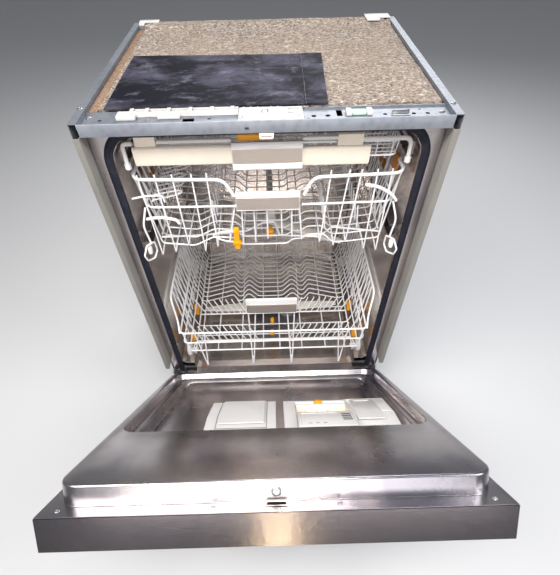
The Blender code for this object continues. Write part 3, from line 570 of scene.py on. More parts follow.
def latch_unit():
    """Door-lock housing with its ribs, the cable duct with its cables, and the lock's ring and plate."""
    floor = RAIL_FLOOR + 0.4
    bm = bmesh.new()
    rbox(bm, (-43, 10, floor), (57, 55, floor + 5), 1.2)
    rbox(bm, (-40, 20, floor + 5), (25, 48, floor + 7.8), 1.2)
    rbox(bm, (-12, 4.5, floor), (13, 12, floor + 6), 1)
    rbox(bm, (30, 16, floor + 5), (54, 38, floor + 9), 1.4)
    for x in (-36, -25, -14, 6, 17):
        rbox(bm, (x, 21.5, floor + 7.8), (x + 2.2, 46.5, floor + 9), 0.4)
    rbox(bm, (-42, 11, floor + 5), (-37, 19, floor + 9), 0.8)
    finish_piece("latch_case", bm, "white_plastic", "cabinet", swap="latch_housing")
    bm = bmesh.new()
    wall = [(40, 0), (40, 7.2), (41.2, 7.2), (41.2, 1.2), (54.3, 1.2), (54.3, 6), (55.5, 6), (55.5, 0)]
    prism(bm, [(y, floor + z) for y, z in wall], -214, -43.6, "X", 0.2)
    for x in (-214, -190, -156, -122, -88, -56):
        rbox(bm, (x, 40.2, floor + 6), (x + 6, 55.3, floor + 7.4), 0.5)
    finish_piece("cable_duct", bm, "white_plastic", "cabinet")
    bm = bmesh.new()
    for k, (y, lift) in enumerate(((44, 2.6), (47, 3), (50.5, 2.5))):
        path = [(-210 + 168 * t, y + sin(9 * t + k), floor + lift) for t in (i / 30 for i in range(31))]
        tube(bm, path, 1.1, sides=6)
    finish_piece("latch_cables", bm, "grey_plastic", "cabinet")
    bm = bmesh.new()
    tube(bm, [(x, y, floor + 8.6) for x, y in circle(-2, 30, 5.2, 20)], 1, closed=True, sides=6)
    rbox(bm, (33.5, 19, floor + 9), (50.5, 34, floor + 10.4), 0.6)
    finish_piece("latch_hook", bm, "steel", "cabinet")


def corner_tags():
    """White tags at the top's rear corners."""
    bm = bmesh.new()
    rbox(bm, (-285, 524, 807), (-240.5, 538.5, 810), 0.6)
    rbox(bm, (-285, 515, 804.2), (-273, 538.5, 808), 0.6)
    rbox(bm, (229, 512, 808.4), (284, 538.5, 811.2), 0.6)
    rbox(bm, (231, 500, 806.6), (260, 514, 809.6), 0.6)
    finish_piece("corner_tags", bm, "white_plastic", "cabinet")


def edge_trim(name, side):
    """Ridged plastic strip over a side wall's front edge."""
    outline = [(288.8, 29), (288.8, 0)]
    ridges = 5
    pitch = 10 / ridges
    for i in range(ridges):
        x = 288.8 + pitch * i
        outline += [(x + pitch * 0.15, -0.6), (x + pitch * 0.62, -0.6), (x + pitch * 0.8, 0.6)]
    outline += [(298.8, 0), (298.8, 2.3), (290.3, 2.3), (290.3, 29)]
    bm = bmesh.new()
    prism(bm, [(side * x, y) for x, y in outline], 189.5, 784.5, "Z")
    finish_piece(name + "_trim", bm, "beige_plastic", "cabinet", swap=name)


def arch_path(half, low, high, radius, steps=10):
    """Up one side, round the two upper corners and down the other, as (x, z) points."""
    points = [(half, low)]
    for i in range(1, 12):
        points.append((half, low + (high - radius - low) * i / 12))
    for x, start in ((half - radius, 0), (-half + radius, 90)):
        for step in range(steps + 1):
            angle = radians(start + 90 * step / steps)
            points.append((x + radius * cos(angle), high - radius + radius * sin(angle)))
    for i in range(11, 0, -1):
        points.append((-half, low + (high - radius - low) * i / 12))
    points.append((-half, low))
    return points


def door_seal():
    """Bulb seal round the opening: a flat foot, a rolled bulb and a thin inner lip."""
    path = arch_path(266.5, 140, 781.2, 50)
    profile = [(-6.8, 29.6), (6.6, 29.6), (6.8, 28.6), (5, 28), (4, 27), (1.2, 26.4), (-1.6, 26.8), (-2.6, 27.8),
            (-4.6, 28), (-6.8, 27.5), (-7.4, 28)]
    bm = bmesh.new()
    rings = []
    for i, (x, z) in enumerate(path):
        ahead, behind = path[min(i + 1, len(path) - 1)], path[max(i - 1, 0)]
        along = Vector((ahead[0] - behind[0], 0, ahead[1] - behind[1])).normalized()
        outward = Vector((along.z, 0, -along.x))
        rings.append([Vector((x, 0, z)) + outward * u + Vector((0, y, 0)) for u, y in profile])
    loft(bm, rings)
    finish_piece("door_seal", bm, "gasket_rubber", "cabinet", swap="door_gasket", smooth=60)


def strike():
    """Loop under the front rail that the door's hook catches."""
    bm = bmesh.new()
    path = [(-10, -1.6, 785), (-10, -12.8, 785), (9.2, -12.8, 785), (9.2, -1.6, 785)]
    bent(bm, path, 1.5, 2, sides=8)
    rbox(bm, (-11.8, -2.6, 783), (11, -0.6, 787.2), 0.6)
    finish_piece("strike_ring", bm, "bright_plastic", "cabinet", swap="strike_loop")


felt_mat()
felt_margin()
bitumen_sheet()
front_rail()
rail_clips()
latch_unit()
corner_tags()
edge_trim("edge_strip_left", -1)
edge_trim("edge_strip_right", 1)
door_seal()
strike()


# ------------------------------------------------------------------ baskets
WIRE_THICK = 2.5
WIRE_THIN = 1.6


def lerp(low, high, t):
    return low + (high - low) * t


def spread(low, high, count):
    """Evenly spaced positions from low to high."""
    return [lerp(low, high, k / (count - 1)) for k in range(count)]


def mirrored(*points):
    """The points, and back again on the other side of X = 0."""
    return [*points, *((-x, *rest) for x, *rest in reversed(points))]


def cross_wire(bm, y, side, floor, radius, bend):
    """Wire across a basket: down its left side, along the floor's (x, z) points and up its right side."""
    path = side + floor + [(-x, z) for x, z in reversed(side)]
    bent(bm, [(x, y, z) for x, z in path], radius, bend, steps=2)


def hoop(bm, half, y0, y1, z, corner, radius):
    """Closed rectangular wire ring lying flat."""
    bent(bm, [(x, y, z) for x, y in oblong(-half, half, y0, y1)], radius, corner, True, 5, 8)


SIDE_TOP = 385


def lower_basket():
    """Lower basket: level rings, waved cross wires, lengthwise wires, feet and prongs."""
    bm = bmesh.new()
    front, back = 24, 488
    for z, half, radius in ((309, 237, WIRE_THICK), (272, 235, 2.1), (240, 226, 1.9)):
        hoop(bm, half, front - 3, back, z, 12, radius)
    bent(bm, mirrored((-219, front + 20, 200), (-219, back - 12, 200)), 2.1, 20)
    bent(bm, mirrored((-238, front - 3, 309), (-241, front + 20, 329), (-252, 72, SIDE_TOP),
            (-252, back + 2, SIDE_TOP)), WIRE_THICK, 16)
    low, high = 197.5, 223
    wave = [(-206, low), (-130, high - 4), (-120, high), (-106, low), (-96, low), (-78, high), (-69, high),
            (-46, low), (-38, low - 2), (24, low - 2), (32, low), (56, high), (65, high), (86, low), (96, low),
            (112, high), (123, high - 4), (201, low)]
    for y in spread(252, 474, 12):
        cross_wire(bm, y, [(-251, SIDE_TOP), (-236, 260), (-218, 201)], wave, 1.7, 6)
    for y in (110, 148, 212):
        bent(bm, mirrored((-238, y + 10, 320), (-235, y, 250), (-218, y, 198.5)), 1.7, 12)
    for x in (-206, -158, -91, -30, 17, 79, 145, 200):
        bent(bm, [(x, front + 30, 196), (x, back - 26, 196), (x, back - 4, 250), (x, back, SIDE_TOP)], 1.7, 12)
    for x, lean in ((-186, 17), (179, 17)):
        bent(bm, [(x - lean, front - 6, 340), (x - 1.2, front - 5, 184), (x, front - 4, 178),
                (x + 1.2, front - 5, 184), (x + lean * 0.6, front - 6, 309)], 1.7, 2)
        lathe(bm, [(0, -6), (2.6, -4), (3, 2), (2.4, 10), (0, 11)], (x, front - 4.2, 183), "Z", 12)
    for x, top in ((-58, -51), (48, 42)):
        bent(bm, [(top - 8, front - 2, 390), (x - 1.6, front - 4, 186), (x, front - 4, 179),
                (x + 1.6, front - 4, 186), (top + 10, front - 2, 390)], 1.8, 2)
        lathe(bm, [(0, -6), (2.6, -4), (3.4, 4), (2.8, 26), (0, 28)], (x, front - 4.2, 184), "Z", 12)
    for side in (-1, 1):
        for y in spread(98, 478, 17):
            tube(bm, [(side * 251.5, y, SIDE_TOP), (side * 233, y - 20, 244)], 1.6)
        for y in spread(100, 438, 15):
            tube(bm, [(side * 252, y, SIDE_TOP), (side * 234.5, y + 38, 244)], 1.5)
        bent(bm, [(side * 230, front - 3, 309), (side * 224, front - 3, 244), (side * 216, front + 20, 200)], 2, 10)
        for y in (66, 430):
            tube(bm, [(side * 215, y, 194), (side * 244.6, y, 194)], 3.6, sides=10)
            bent(bm, [(side * 218, y - 18, 204), (side * 226, y - 10, 199), (side * 226, y, 194),
                    (side * 226, y + 10, 199), (side * 218, y + 18, 204)], 1.8, 4)
    finish_piece("lower_basket_wires", bm, "coated_wire", "lower_rack", swap="lower_basket")


def tine_row(name, node, y, height, pitch):
    """Row of upright prongs on a rod that folds flat."""
    bm = bmesh.new()
    z = 203.5
    tube(bm, [(-218, y, z), (218, y, z)], 2.4, sides=8)
    count = round(156 / pitch)
    for side in (-1, 1):
        for k in range(count + 1):
            x = side * lerp(44, 200, k / count)
            lean = side * 0.4 * height * min(1.0, (228 - abs(x)) / (0.4 * height))
            bent(bm, [(x, y, z), (x + lean * 0.95, y, z + height - 4), (x + lean, y + 2, z + height)], 1.6, 2,
                    sides=7)
    finish_piece(name, bm, "coated_wire", node, swap=node)


def clips():
    """Bright clips that hold the folding rows to the basket floor."""
    bm = bmesh.new()
    for x, y in ((-229, 203), (229, 203), (-229, 98), (229, 98)):
        prism(bm, [(y - 9, 199), (y + 7, 199), (y + 9, 212), (y + 4, 230), (y - 4, 232), (y - 9, 220)], x - 6.5,
                x + 6.5, "X", 1.8)
    for x, y in ((-3, 153), (-4, 107)):
        rbox(bm, (x - 5.5, y - 7, 202), (x + 5.5, y + 7, 212), 2)
        rbox(bm, (x - 3.5, y - 12, 209), (x + 3.5, y + 5, 217), 1.8)
    finish_piece("tine_clips", bm, "yellow_plastic", "lower_rack")


def wheels():
    """Wheels of the lower basket, with a ring of pips on their outer face."""
    for end, y in (("front", 66), ("rear", 430)):
        for name, side in (("left", -1), ("right", 1)):
            node = f"lower_wheel_{end}_{name}"
            bm = bmesh.new()
            centre = Vector((side * 237, y, 194))
            lathe(bm, [(4.6, -6), (15, -6), (15, -4.4), (18.2, -4.8), (19, -3), (19, 3), (18.2, 4.8), (15, 4.4),
                    (15, 6), (4.6, 6), (4.6, -6)], centre, "X", 32)
            for k in range(6):
                angle = pi * k / 3
                spot = centre + Vector((side * 6.2, 10 * cos(angle), 10 * sin(angle)))
                lathe(bm, [(0, -0.6), (2.6, -0.6), (2.6, 0.4), (0, 0.4)], spot, "X", 10)
            finish_piece(node + "_disc", bm, "bright_plastic", node, swap=node)


ROLLER_Z = 573.8


def upper_basket():
    """Upper basket: stepped floor, dipped front rim, thin uprights, roller loops, rollers and feed pipe."""
    bm = bmesh.new()
    front, back = 50, 480
    rim = mirrored((-64, front - 16, 666), (-80, front - 14, 697), (-242, front - 12, 700), (-244, back, 700))
    bent(bm, rim, WIRE_THICK + 0.4, 22, steps=6, sides=9)
    second = mirrored((-62, front - 14, 646), (-234, front - 8, 644), (-238, back - 4, 644))
    bent(bm, second, 2, 22, steps=5, sides=8)
    for z, half in ((596, 233), (560, 228)):
        bent(bm, mirrored((-half, front + 30, z), (-half, back - 4, z)), 1.8, 20)
    bent(bm, [(-228, 70, 560), (-170, 100, 540), (-52, 100, 548), (-13.8, 100, 567.8), (9, 100, 569.7),
            (20, 100, 535.2), (107.3, 100, 529.7), (133.3, 100, 553), (200, 100, 544), (228, 70, 560)], 2.2, 6)
    uprights = [(-230.5, -227, 536), (-200.1, -198, 541.5), (-169.6, -168, 558), (-135.5, -136, 542),
            (-109, -109, 552), (111, 101, 556), (144, 130, 548), (165, 154, 557), (193, 195, 537), (219, 221, 534)]
    for top, foot, z in uprights:
        bent(bm, [(top, front - 13, 708), (lerp(top, foot, 0.4), front - 11, 640), (foot, front - 8, z),
                (foot, front + 22, z + 6), (foot, back - 20, z + 4), (foot, back, 600), (foot, back, 700)], 1.5, 3,
                steps=3)
    for top, foot, z in ((-64, -84, 560), (-52, -56, 554), (-30, -30, 560), (-5, -5, 568), (22, 24, 576),
            (42, 44, 570), (56, 64, 564)):
        bent(bm, [(top, front - 11, 648), (foot, front - 8, z), (foot, front + 22, z + 6), (foot, front + 90, z - 4),
                (foot, back - 20, 544)], 1.5, 3)
    steps = [(-160, 540), (-118, 560), (-74, 556), (-60, 539), (36, 539), (46, 550), (66, 550), (78, 560), (112, 560),
            (130, 540), (160, 540)]
    for y in spread(front + 16, back - 14, 15):
        cross_wire(bm, y, [(-246, 700), (-238, 630), (-228, 548)], steps, 1.6, 7)
    for side in (-1, 1):
        for y in spread(front + 10, back - 30, 15):
            tube(bm, [(side * 246, y, 700), (side * 230, y + 20, 596)], 1.5, sides=6)
    for x, height in ((-116, 52), (116, 52), (185, 48)):
        for y in spread(front + 40, back - 30, 13):
            bent(bm, [(x, y, 556), (x - 4, y + 4, 556 + height)], 1.7, 1, sides=6)
    finish_piece("upper_basket_wires", bm, "coated_wire", "upper_rack", swap="upper_basket")

    bm = bmesh.new()
    for side in (-1, 1):
        for y in (121.7, 408.3):
            bent(bm, [(side * 231, y - 26, 574), (side * 233, y - 14, 550), (side * 233, y + 14, 550),
                    (side * 231, y + 26, 574), (side * 233, y + 14, 593), (side * 233, y - 14, 593)], 2, 6, True)
        bent(bm, [(side * 255, 13, 556), (side * 253, 18, 540), (side * 244, 38, 532), (side * 238, 49, 544),
                (side * 238, 46, 566), (side * 248, 24, 572)], 1.8, 3, True, steps=3)
        rbox(bm, (side * 246 - 4, 24, 550), (side * 246 + 4, 36, 566), 3, 3)
        bent(bm, [(side * 242, 36, 570), (side * 246, 34, 610), (side * 234, 42, 644)], 2, 10)
    finish_piece("roller_loops", bm, "coated_wire", "upper_rack")
    bm = bmesh.new()
    for side in (-1, 1):
        for y in (122.8, 409.4):
            lathe(bm, [(0, -8.5), (6, -8.5), (8.4, -7), (8.4, -5), (7.2, -4), (7.2, 4), (8.4, 5), (8.4, 7), (6, 8.5),
                    (0, 8.5)], (side * 244.8, y, ROLLER_Z), "X", 24)
    finish_piece("upper_rollers", bm, "beige_plastic", "upper_rack")
    bm = bmesh.new()
    rbox(bm, (-12.5, 252.5, 474.5), (12.5, 277.5, 533.3), 3, 3)
    lathe(bm, [(0, 0), (17, 0), (17, 4), (14, 6), (0, 6)], (0, 265, 475.5), "Z", 24)
    rbox(bm, (-8, 265, 525), (8, 470, 533), 2.5, 3)
    finish_piece("feed_pipe", bm, "arm_plastic", "upper_rack")


def upper_fittings():
    """Height levers, curled cup-rest ends and the orange strips on the basket's sides."""
    bm = bmesh.new()
    for x, y, low, high in ((-68, 40, 550, 596), (-1, 108, 528, 550)):
        prism(bm, [(y - 4, low), (y + 8, low + 4), (y + 10, high - 6), (y + 4, high), (y - 4, high - 4)], x - 5.5,
                x + 5.5, "X", 1.2)
        rbox(bm, (x - 8.5, y - 6, low + 10), (x + 8.5, y + 4, low + 18), 1.5)
    finish_piece("height_levers", bm, "yellow_plastic", "upper_rack")
    bm = bmesh.new()
    for side, y0, y1, z0, z1 in ((-1, 150, 215, 628, 656), (-1, 320, 390, 628, 656), (1, 165, 240, 626, 658),
            (1, 85, 130, 674, 706), (1, 320, 390, 628, 656)):
        rbox(bm, (side * 240 - 2.2, y0, z0), (side * 240 + 2.2, y1, z1), 1.4)
    finish_piece("side_strips", bm, "amber_strip", "upper_rack")
    bm = bmesh.new()
    bent(bm, [(-73, 38, 590), (-90, 38, 592), (-118, 39, 582), (-95, 40, 568), (-73, 40, 564)], 1.6, 8)
    bent(bm, [(-238, 42, 620), (-210, 38, 626), (-180, 37, 620), (-176, 38, 611)], 3, 10, steps=5, sides=9)
    bent(bm, [(175, 38, 680), (200, 37, 676), (228, 38, 660), (239, 40, 646)], 3, 10, steps=5, sides=9)
    bent(bm, [(-252, 39, 664), (-224, 37, 670), (-194, 37, 670), (-194, 39, 656)], 1.8, 8, steps=4)
    finish_piece("rest_ends", bm, "coated_wire", "upper_rack")


def cup_shelf():
    """Folding wire shelf on the upper basket's left side."""
    bm = bmesh.new()
    turn = Matrix.Translation((-226, 200, 640)) @ Matrix.Rotation(radians(80), 4, "Y")

    def at(y, z):
        return turn @ Vector((0, y, z))
    tube(bm, [at(-130, 0), at(130, 0)], 2, sides=8)
    for y in spread(-116, 116, 8):
        bent(bm, [at(y - 10, 0), at(y - 8, 50), at(y, 60), at(y + 8, 50), at(y + 10, 0)], 1.6, 8, steps=4)
    tube(bm, [at(-128, 30), at(128, 30)], 1.6)
    finish_piece("cup_rest", bm, "coated_wire", "cup_shelf", swap="cup_shelf")


def handle(name, body, node, span, depth, levels):
    """Basket grip: white hooked moulding with a bowed brushed-metal face between its lips."""
    left, right = span
    front, back = depth
    bottom, face_low, face_high, top = levels
    upper, lower = front + 2.4, front + 1.2
    outline = [(back, bottom + 6), (back, face_low + 10), (upper + 6.8, top - 1), (upper + 5, top),
            (upper + 2.8, top), (upper + 0.6, top - 2.4), (upper, face_high), (lower, face_low),
            (front, face_low - 1), (front, bottom + 1.2), (front + 1.4, bottom), (back - 6, bottom)]
    bm = bmesh.new()
    prism(bm, outline, left, right, "X", 0.8)
    finish_piece(name + "_grip", bm, "bright_plastic", body, swap=node)
    bm = bmesh.new()
    columns, rings = 24, []
    for i in range(columns + 1):
        u = -1 + 2 * i / columns
        x = lerp(left + 1, right - 1, i / columns)
        bow = 0.8 * (1 - u * u)
        rings.append([(x, upper - 0.4 - bow, face_high), (x, lower - 0.4 - bow, face_low), (x, lower + 0.6, face_low),
                (x, upper + 0.6, face_high)])
    loft(bm, rings)
    finish_piece(name + "_plate", bm, "handle_steel", body, smooth=30)


def cutlery_tray():
    """Shallow top tray: framed wire floor, cream fascia blocks and bent side tubes."""
    bm = bmesh.new()
    hoop(bm, 227, 50, 476, 750, 14, 2.2)
    hoop(bm, 224, 52, 474, 725, 14, 1.8)
    for y in spread(62, 466, 30):
        bent(bm, mirrored((-227, y, 750), (-224, y, 726), (-80, y, 726), (-68, y, 735)), 1.2, 4, steps=2, sides=6)
    for x in spread(-214, 214, 17):
        z = 733.2 if abs(x) < 68 else 724.2
        bent(bm, [(x, 50, 750), (x, 53, z), (x, 473, z), (x, 476, 750)], 1.2, 4, steps=2, sides=6)
    finish_piece("tray_wires", bm, "coated_wire", "cutlery_tray", swap="cutlery_tray")
    bm = bmesh.new()
    for side in (-1, 1):
        for y in (135.2, 390.8):
            lathe(bm, [(0, -11), (6.8, -11), (6.8, 11), (0, 11)], (side * 237.8, y, 735.5), "X", 20)
    finish_piece("tray_rollers", bm, "beige_plastic", "cutlery_tray")

    bm = bmesh.new()
    panel = [(42, 723.5), (42, 752), (41, 753.2), (38.5, 753), (36.2, 751), (36, 729), (38, 723.5)]
    prism(bm, panel, -226, -59, "X", 1.2)
    panel = [(y, z - 6) for y, z in panel]
    prism(bm, panel, 58, 174, "X", 1.2)
    rbox(bm, (-219, 38, 754), (-184, 50, 769), 1.6)
    rbox(bm, (117, 38, 748), (160, 50, 766), 1.6)
    finish_piece("tray_front_cream", bm, "cream_plastic", "cutlery_tray", swap="tray_fascia")
    bm = bmesh.new()
    for x0, x1 in ((-183, -59), (58, 118)):
        rbox(bm, (x0, 37, 757.8), (x1, 45, 763.6), 2.2, 3)
    for side, top, inner in ((-1, 758, 224), (1, 756.5, 158)):
        bent(bm, [(side * inner, 42, top), (side * 241, 42, top), (side * 242, 43, 721)], 3.6, 12, steps=5, sides=10)
        bent(bm, [(side * 233, 44, 756), (side * 233, 470, 756)], 2.4, 4, sides=8)
        lathe(bm, [(0, -4), (5.6, -4), (5.6, 4), (0, 4)], (side * 242, 43, 721), "Z", 16)
    finish_piece("tray_tubes", bm, "bright_plastic", "cutlery_tray")
    handle("tray_handle", "cutlery_tray", "tray_fascia", (-60, 59), (27.6, 47), (716.5, 727.4, 750.1, 759.4))
    bm = bmesh.new()
    rbox(bm, (-49, 38, 764), (9, 48, 770), 1.4)
    rbox(bm, (-49, 37.2, 760.6), (9, 38.8, 768), 0.6)
    for x in (-44, -36, -28, -20):
        rbox(bm, (x, 39, 769.6), (x + 3, 47, 771), 0.5)
    finish_piece("tray_slide_grip", bm, "yellow_plastic", "tray_slider", swap="tray_slider")


# ------------------------------------------------------------------ spray arms
def spray_arm(name, body, centre, length, width, thickness, hub, turn):
    """Hollow spray blade with swept edges, a domed hub and rows of nozzles."""
    bm = bmesh.new()
    steps = 40
    rings = []
    for i in range(steps + 1):
        u = -1 + 2 * i / steps
        half = width / 2 * (0.4 + 0.6 * (1 - abs(u) ** 1.6)) * (1 if abs(u) < 0.97 else 0.82)
        deep = thickness / 2 * (1 - 0.25 * abs(u))
        sweep = 6 * u * abs(u)
        x = u * length / 2
        rings.append([(x, sweep - half, 0), (x, sweep - half * 0.8, deep * 0.8), (x, sweep, deep),
                (x, sweep + half * 0.8, deep * 0.8), (x, sweep + half, 0), (x, sweep + half * 0.8, -deep),
                (x, sweep - half * 0.8, -deep)])
    loft(bm, rings)
    lathe(bm, [(0, thickness * 0.95), (hub * 0.6, thickness * 0.9), (hub, thickness * 0.45), (hub * 1.15, 0),
            (hub * 1.15, -thickness * 0.4), (0, -thickness * 0.4)], (0, 0, 0), "Z", 24)
    for side in (-1, 1):
        for k in range(5):
            u = side * (0.26 + 0.15 * k)
            spot = (u * length / 2, 6 * u * abs(u) + width * 0.1 * (-1) ** k, thickness * 0.4)
            lathe(bm, [(1.2, -0.6), (3.4, -0.6), (3, 1), (1.6, 1), (1.2, -0.6)], spot, "Z", 12)
    place = CABINET @ Matrix.Translation(MM * Vector(centre)) @ Matrix.Rotation(radians(turn), 4, "Z")
    finish_piece(name, bm, "arm_plastic", body, place, swap=body)


lower_basket()
tine_row("front_prongs", "front_tine_row", 85, 60, 18)
tine_row("middle_prongs", "middle_tine_row", 190, 58, 18)
clips()
wheels()
upper_basket()
upper_fittings()
cup_shelf()
handle("upper_handle_front", "upper_rack", "upper_handle", (-61.5, 57), (27.6, 47.5), (639.5, 641.7, 664.2, 674.5))
handle("lower_handle_front", "lower_rack", "lower_handle", (-62, 57), (11.6, 33), (382, 384.4, 409, 425))
cutlery_tray()
spray_arm("lower_arm", "lower_spray_arm", (-6, 255, 166), 410, 46, 8, 16, 0)
spray_arm("middle_arm", "middle_spray_arm", (0, 265, 470), 400, 44, 7, 18, -33)
spray_arm("top_arm", "top_spray_arm", (0, 255, 765.5), 150, 40, 6, 14, 0)


# ------------------------------------------------------------------ door
BASE = -18.6
TOP = 1.4


def door_block(bm, x0, x1, outline, edge=1):
    """Block between two X positions; the outline is (distance from the hinge, depth)."""
    prism(bm, [(n, l) for l, n in outline], x0, x1, "X", edge)


def salt_unit():
    """White box on the door with a hinged lid."""
    bm = bmesh.new()
    door_block(bm, -138, 1, [(251.2, BASE), (251.2, TOP - 3), (253, TOP), (344, TOP), (406, -11), (417.5, -15),
            (418, BASE)], 1.4)
    finish_piece("salt_box", bm, "bright_plastic", "door", DOOR, swap="salt_housing")
    bm = bmesh.new()
    # Grey strips along the lid's sides and tip edge: painted shadow in the gap between lid and box.
    for x in (-117.2, -18.2):
        door_block(bm, x, x + 1.4, [(256, TOP - 0.4), (256, TOP + 0.4), (344, TOP + 0.4), (390, -7.8), (390, -9),
                (344, TOP - 0.4)], 0)
    door_block(bm, -116, -18, [(388, -8.4), (388, -7), (390, -7.4), (390, -8.8)], 0)
    finish_piece("salt_lid_gap_shadows", bm, "grey_plastic", "door", DOOR)
    bm = bmesh.new()
    door_block(bm, -112, -22, [(256, TOP + 0.6), (256, TOP + 2.6), (257.5, TOP + 3.8), (351.6, TOP + 3.8),
            (380, TOP - 0.6), (380, TOP - 3), (351.6, TOP + 0.6)], 1.2)
    finish_piece("salt_flap", bm, "bright_plastic", "salt_lid", DOOR, swap="salt_lid")


def dispenser():
    """Dispenser: body, powder well, opening tab, sliding cover and rinse-aid lid."""
    bm = bmesh.new()
    slope = [(346, TOP), (406, -11), (417.5, -15), (418, BASE)]
    door_block(bm, 17.5, 42.5, [(253, BASE), (253, TOP - 2), (254.5, TOP), *slope], 1.2)
    door_block(bm, 153.2, 240.5, [(250, BASE), (250, TOP - 2), (251.5, TOP), *slope], 1.2)
    door_block(bm, 42.5, 153.2, [(252.5, BASE), (252.5, TOP - 2), (253.5, TOP - 0.6), (260, TOP - 0.6), (262, -8),
            (275.5, -8), (277, TOP - 1), (280.5, TOP - 1), (281, BASE)], 0.4)
    door_block(bm, 42.5, 153.2, [(340, BASE), (340, -3), (344, -2.2), (406, -11.5), (417, -15), (417.5, BASE)], 0.8)
    for k in range(3):
        rbox(bm, (157, TOP - 0.4, 258 + 8.5 * k), (168, TOP + 1.8, 262 + 8.5 * k), 0.6)
    rbox(bm, (154.5, TOP - 0.4, 278), (157.5, TOP + 1.6, 386), 0.6)
    rbox(bm, (216, TOP - 0.4, 262), (236, TOP + 1, 338), 0.8)
    finish_piece("dispenser_body", bm, "bright_plastic", "door", DOOR, swap="dispenser_housing")

    bm = bmesh.new()
    floor, wall = BASE + 3, 1.6
    rbox(bm, (44, BASE, 281.2), (151, floor, 339.8), 0.3)
    for low, high in (((43, floor, 281.2), (43 + wall, TOP - 1.2, 339.8)),
            ((150.8, floor, 281.2), (150.8 + wall, TOP - 1.2, 339.8)), ((44, floor, 281.2),
            (151, TOP - 1.6, 281.2 + wall)), ((44, floor, 338.2), (151, -4, 339.8))):
        rbox(bm, low, high, 0.3)
    for x in (64, 88, 112):
        rbox(bm, (x, floor, 284), (x + 1.4, floor + 6, 338), 0.3)
    finish_piece("powder_cup", bm, "cream_plastic", "door", DOOR)

    bm = bmesh.new()
    rbox(bm, (85.2, TOP - 6, 262.2), (102.2, TOP + 4, 275.2), 2, 3)
    rbox(bm, (90, TOP + 3.6, 265), (97.4, TOP + 5.2, 273), 1)
    finish_piece("opening_tab", bm, "yellow_plastic", "dispenser_tab", DOOR, swap="dispenser_tab")

    bm = bmesh.new()
    tilt = [(343, TOP + 0.8), (343, TOP + 3), (344.6, TOP + 3.4), (415, TOP + 3.4), (417, TOP + 2.4),
            (417, TOP + 0.6)]
    door_block(bm, 44, 153, tilt, 0.8)
    rbox(bm, (50, TOP + 3, 348), (124, TOP + 4.2, 351), 0.4)
    rbox(bm, (47, TOP + 3, 356), (50, TOP + 4.2, 410), 0.4)
    finish_piece("sliding_cover", bm, "bright_plastic", "detergent_lid", DOOR, swap="detergent_lid")
    bm = bmesh.new()
    # Black plates on the cover stand for its slots' dark openings: painted shade.
    for k in range(4):
        l = 356 + 10 * k
        rbox(bm, (130, TOP + 3, l), (148, TOP + 3.7, l + 5), 0.2)
    for x in (62, 76, 90):
        rbox(bm, (x, TOP + 3, 403), (x + 7, TOP + 3.7, 405), 0.2)
    finish_piece("cover_slot_shade", bm, "black_plastic", "detergent_lid", DOOR)

    bm = bmesh.new()
    door_block(bm, 161, 212, [(270, TOP + 0.6), (270, TOP + 2.8), (271.6, TOP + 4), (342, TOP + 4), (380, TOP + 1.6),
            (380, TOP - 0.6), (342, TOP + 0.6)], 1.2)
    rbox(bm, (170, TOP + 3.6, 276), (203, TOP + 5, 280), 0.6)
    finish_piece("rinse_aid_flap", bm, "bright_plastic", "rinse_aid_lid", DOOR, swap="rinse_aid_lid")


def door_fittings():
    """Screws, round vent and latch frame on the pan's flange and upper wall."""
    flange = -9
    bm = bmesh.new()
    for x in (-276, -80, 80, 276):
        screw_head(bm, (x, flange, 652), 3.4, "Y", 1.4)
    finish_piece("door_screws", bm, "steel", "door", DOOR)
    bm = bmesh.new()
    lathe(bm, [(4.8, -2), (6.8, -1.6), (6.8, 0.6), (5, 1.4), (4.2, 0.4), (4.2, -2), (4.8, -2)], (0, 4, 642.4), "Z",
            24)
    lathe(bm, [(0, -1.4), (2.4, -1.4), (2.4, 0.6), (0, 1)], (0, 4, 642.4), "Z", 16)
    finish_piece("door_vent", bm, "steel", "door", DOOR)
    bm = bmesh.new()
    top, bottom = flange + 0.6, flange - 14
    for x0, x1, l0, l1 in ((-16.5, 16.5, 643.2, 645.5), (-16.5, 16.5, 652.5, 654.8), (-16.5, -12.5, 645.5, 652.5),
            (12.5, 16.5, 645.5, 652.5)):
        rbox(bm, (x0, flange + 0.1, l0), (x1, top, l1), 0.2, 1)
    for x0, x1, l0, l1 in ((-13.5, 13.5, 644.7, 645.5), (-13.5, 13.5, 652.5, 653.3), (-13.5, -12.5, 645.5, 652.5),
            (12.5, 13.5, 645.5, 652.5)):
        rbox(bm, (x0, bottom, l0), (x1, top, l1), 0)
    finish_piece("latch_frame", bm, "stainless", "door", DOOR)


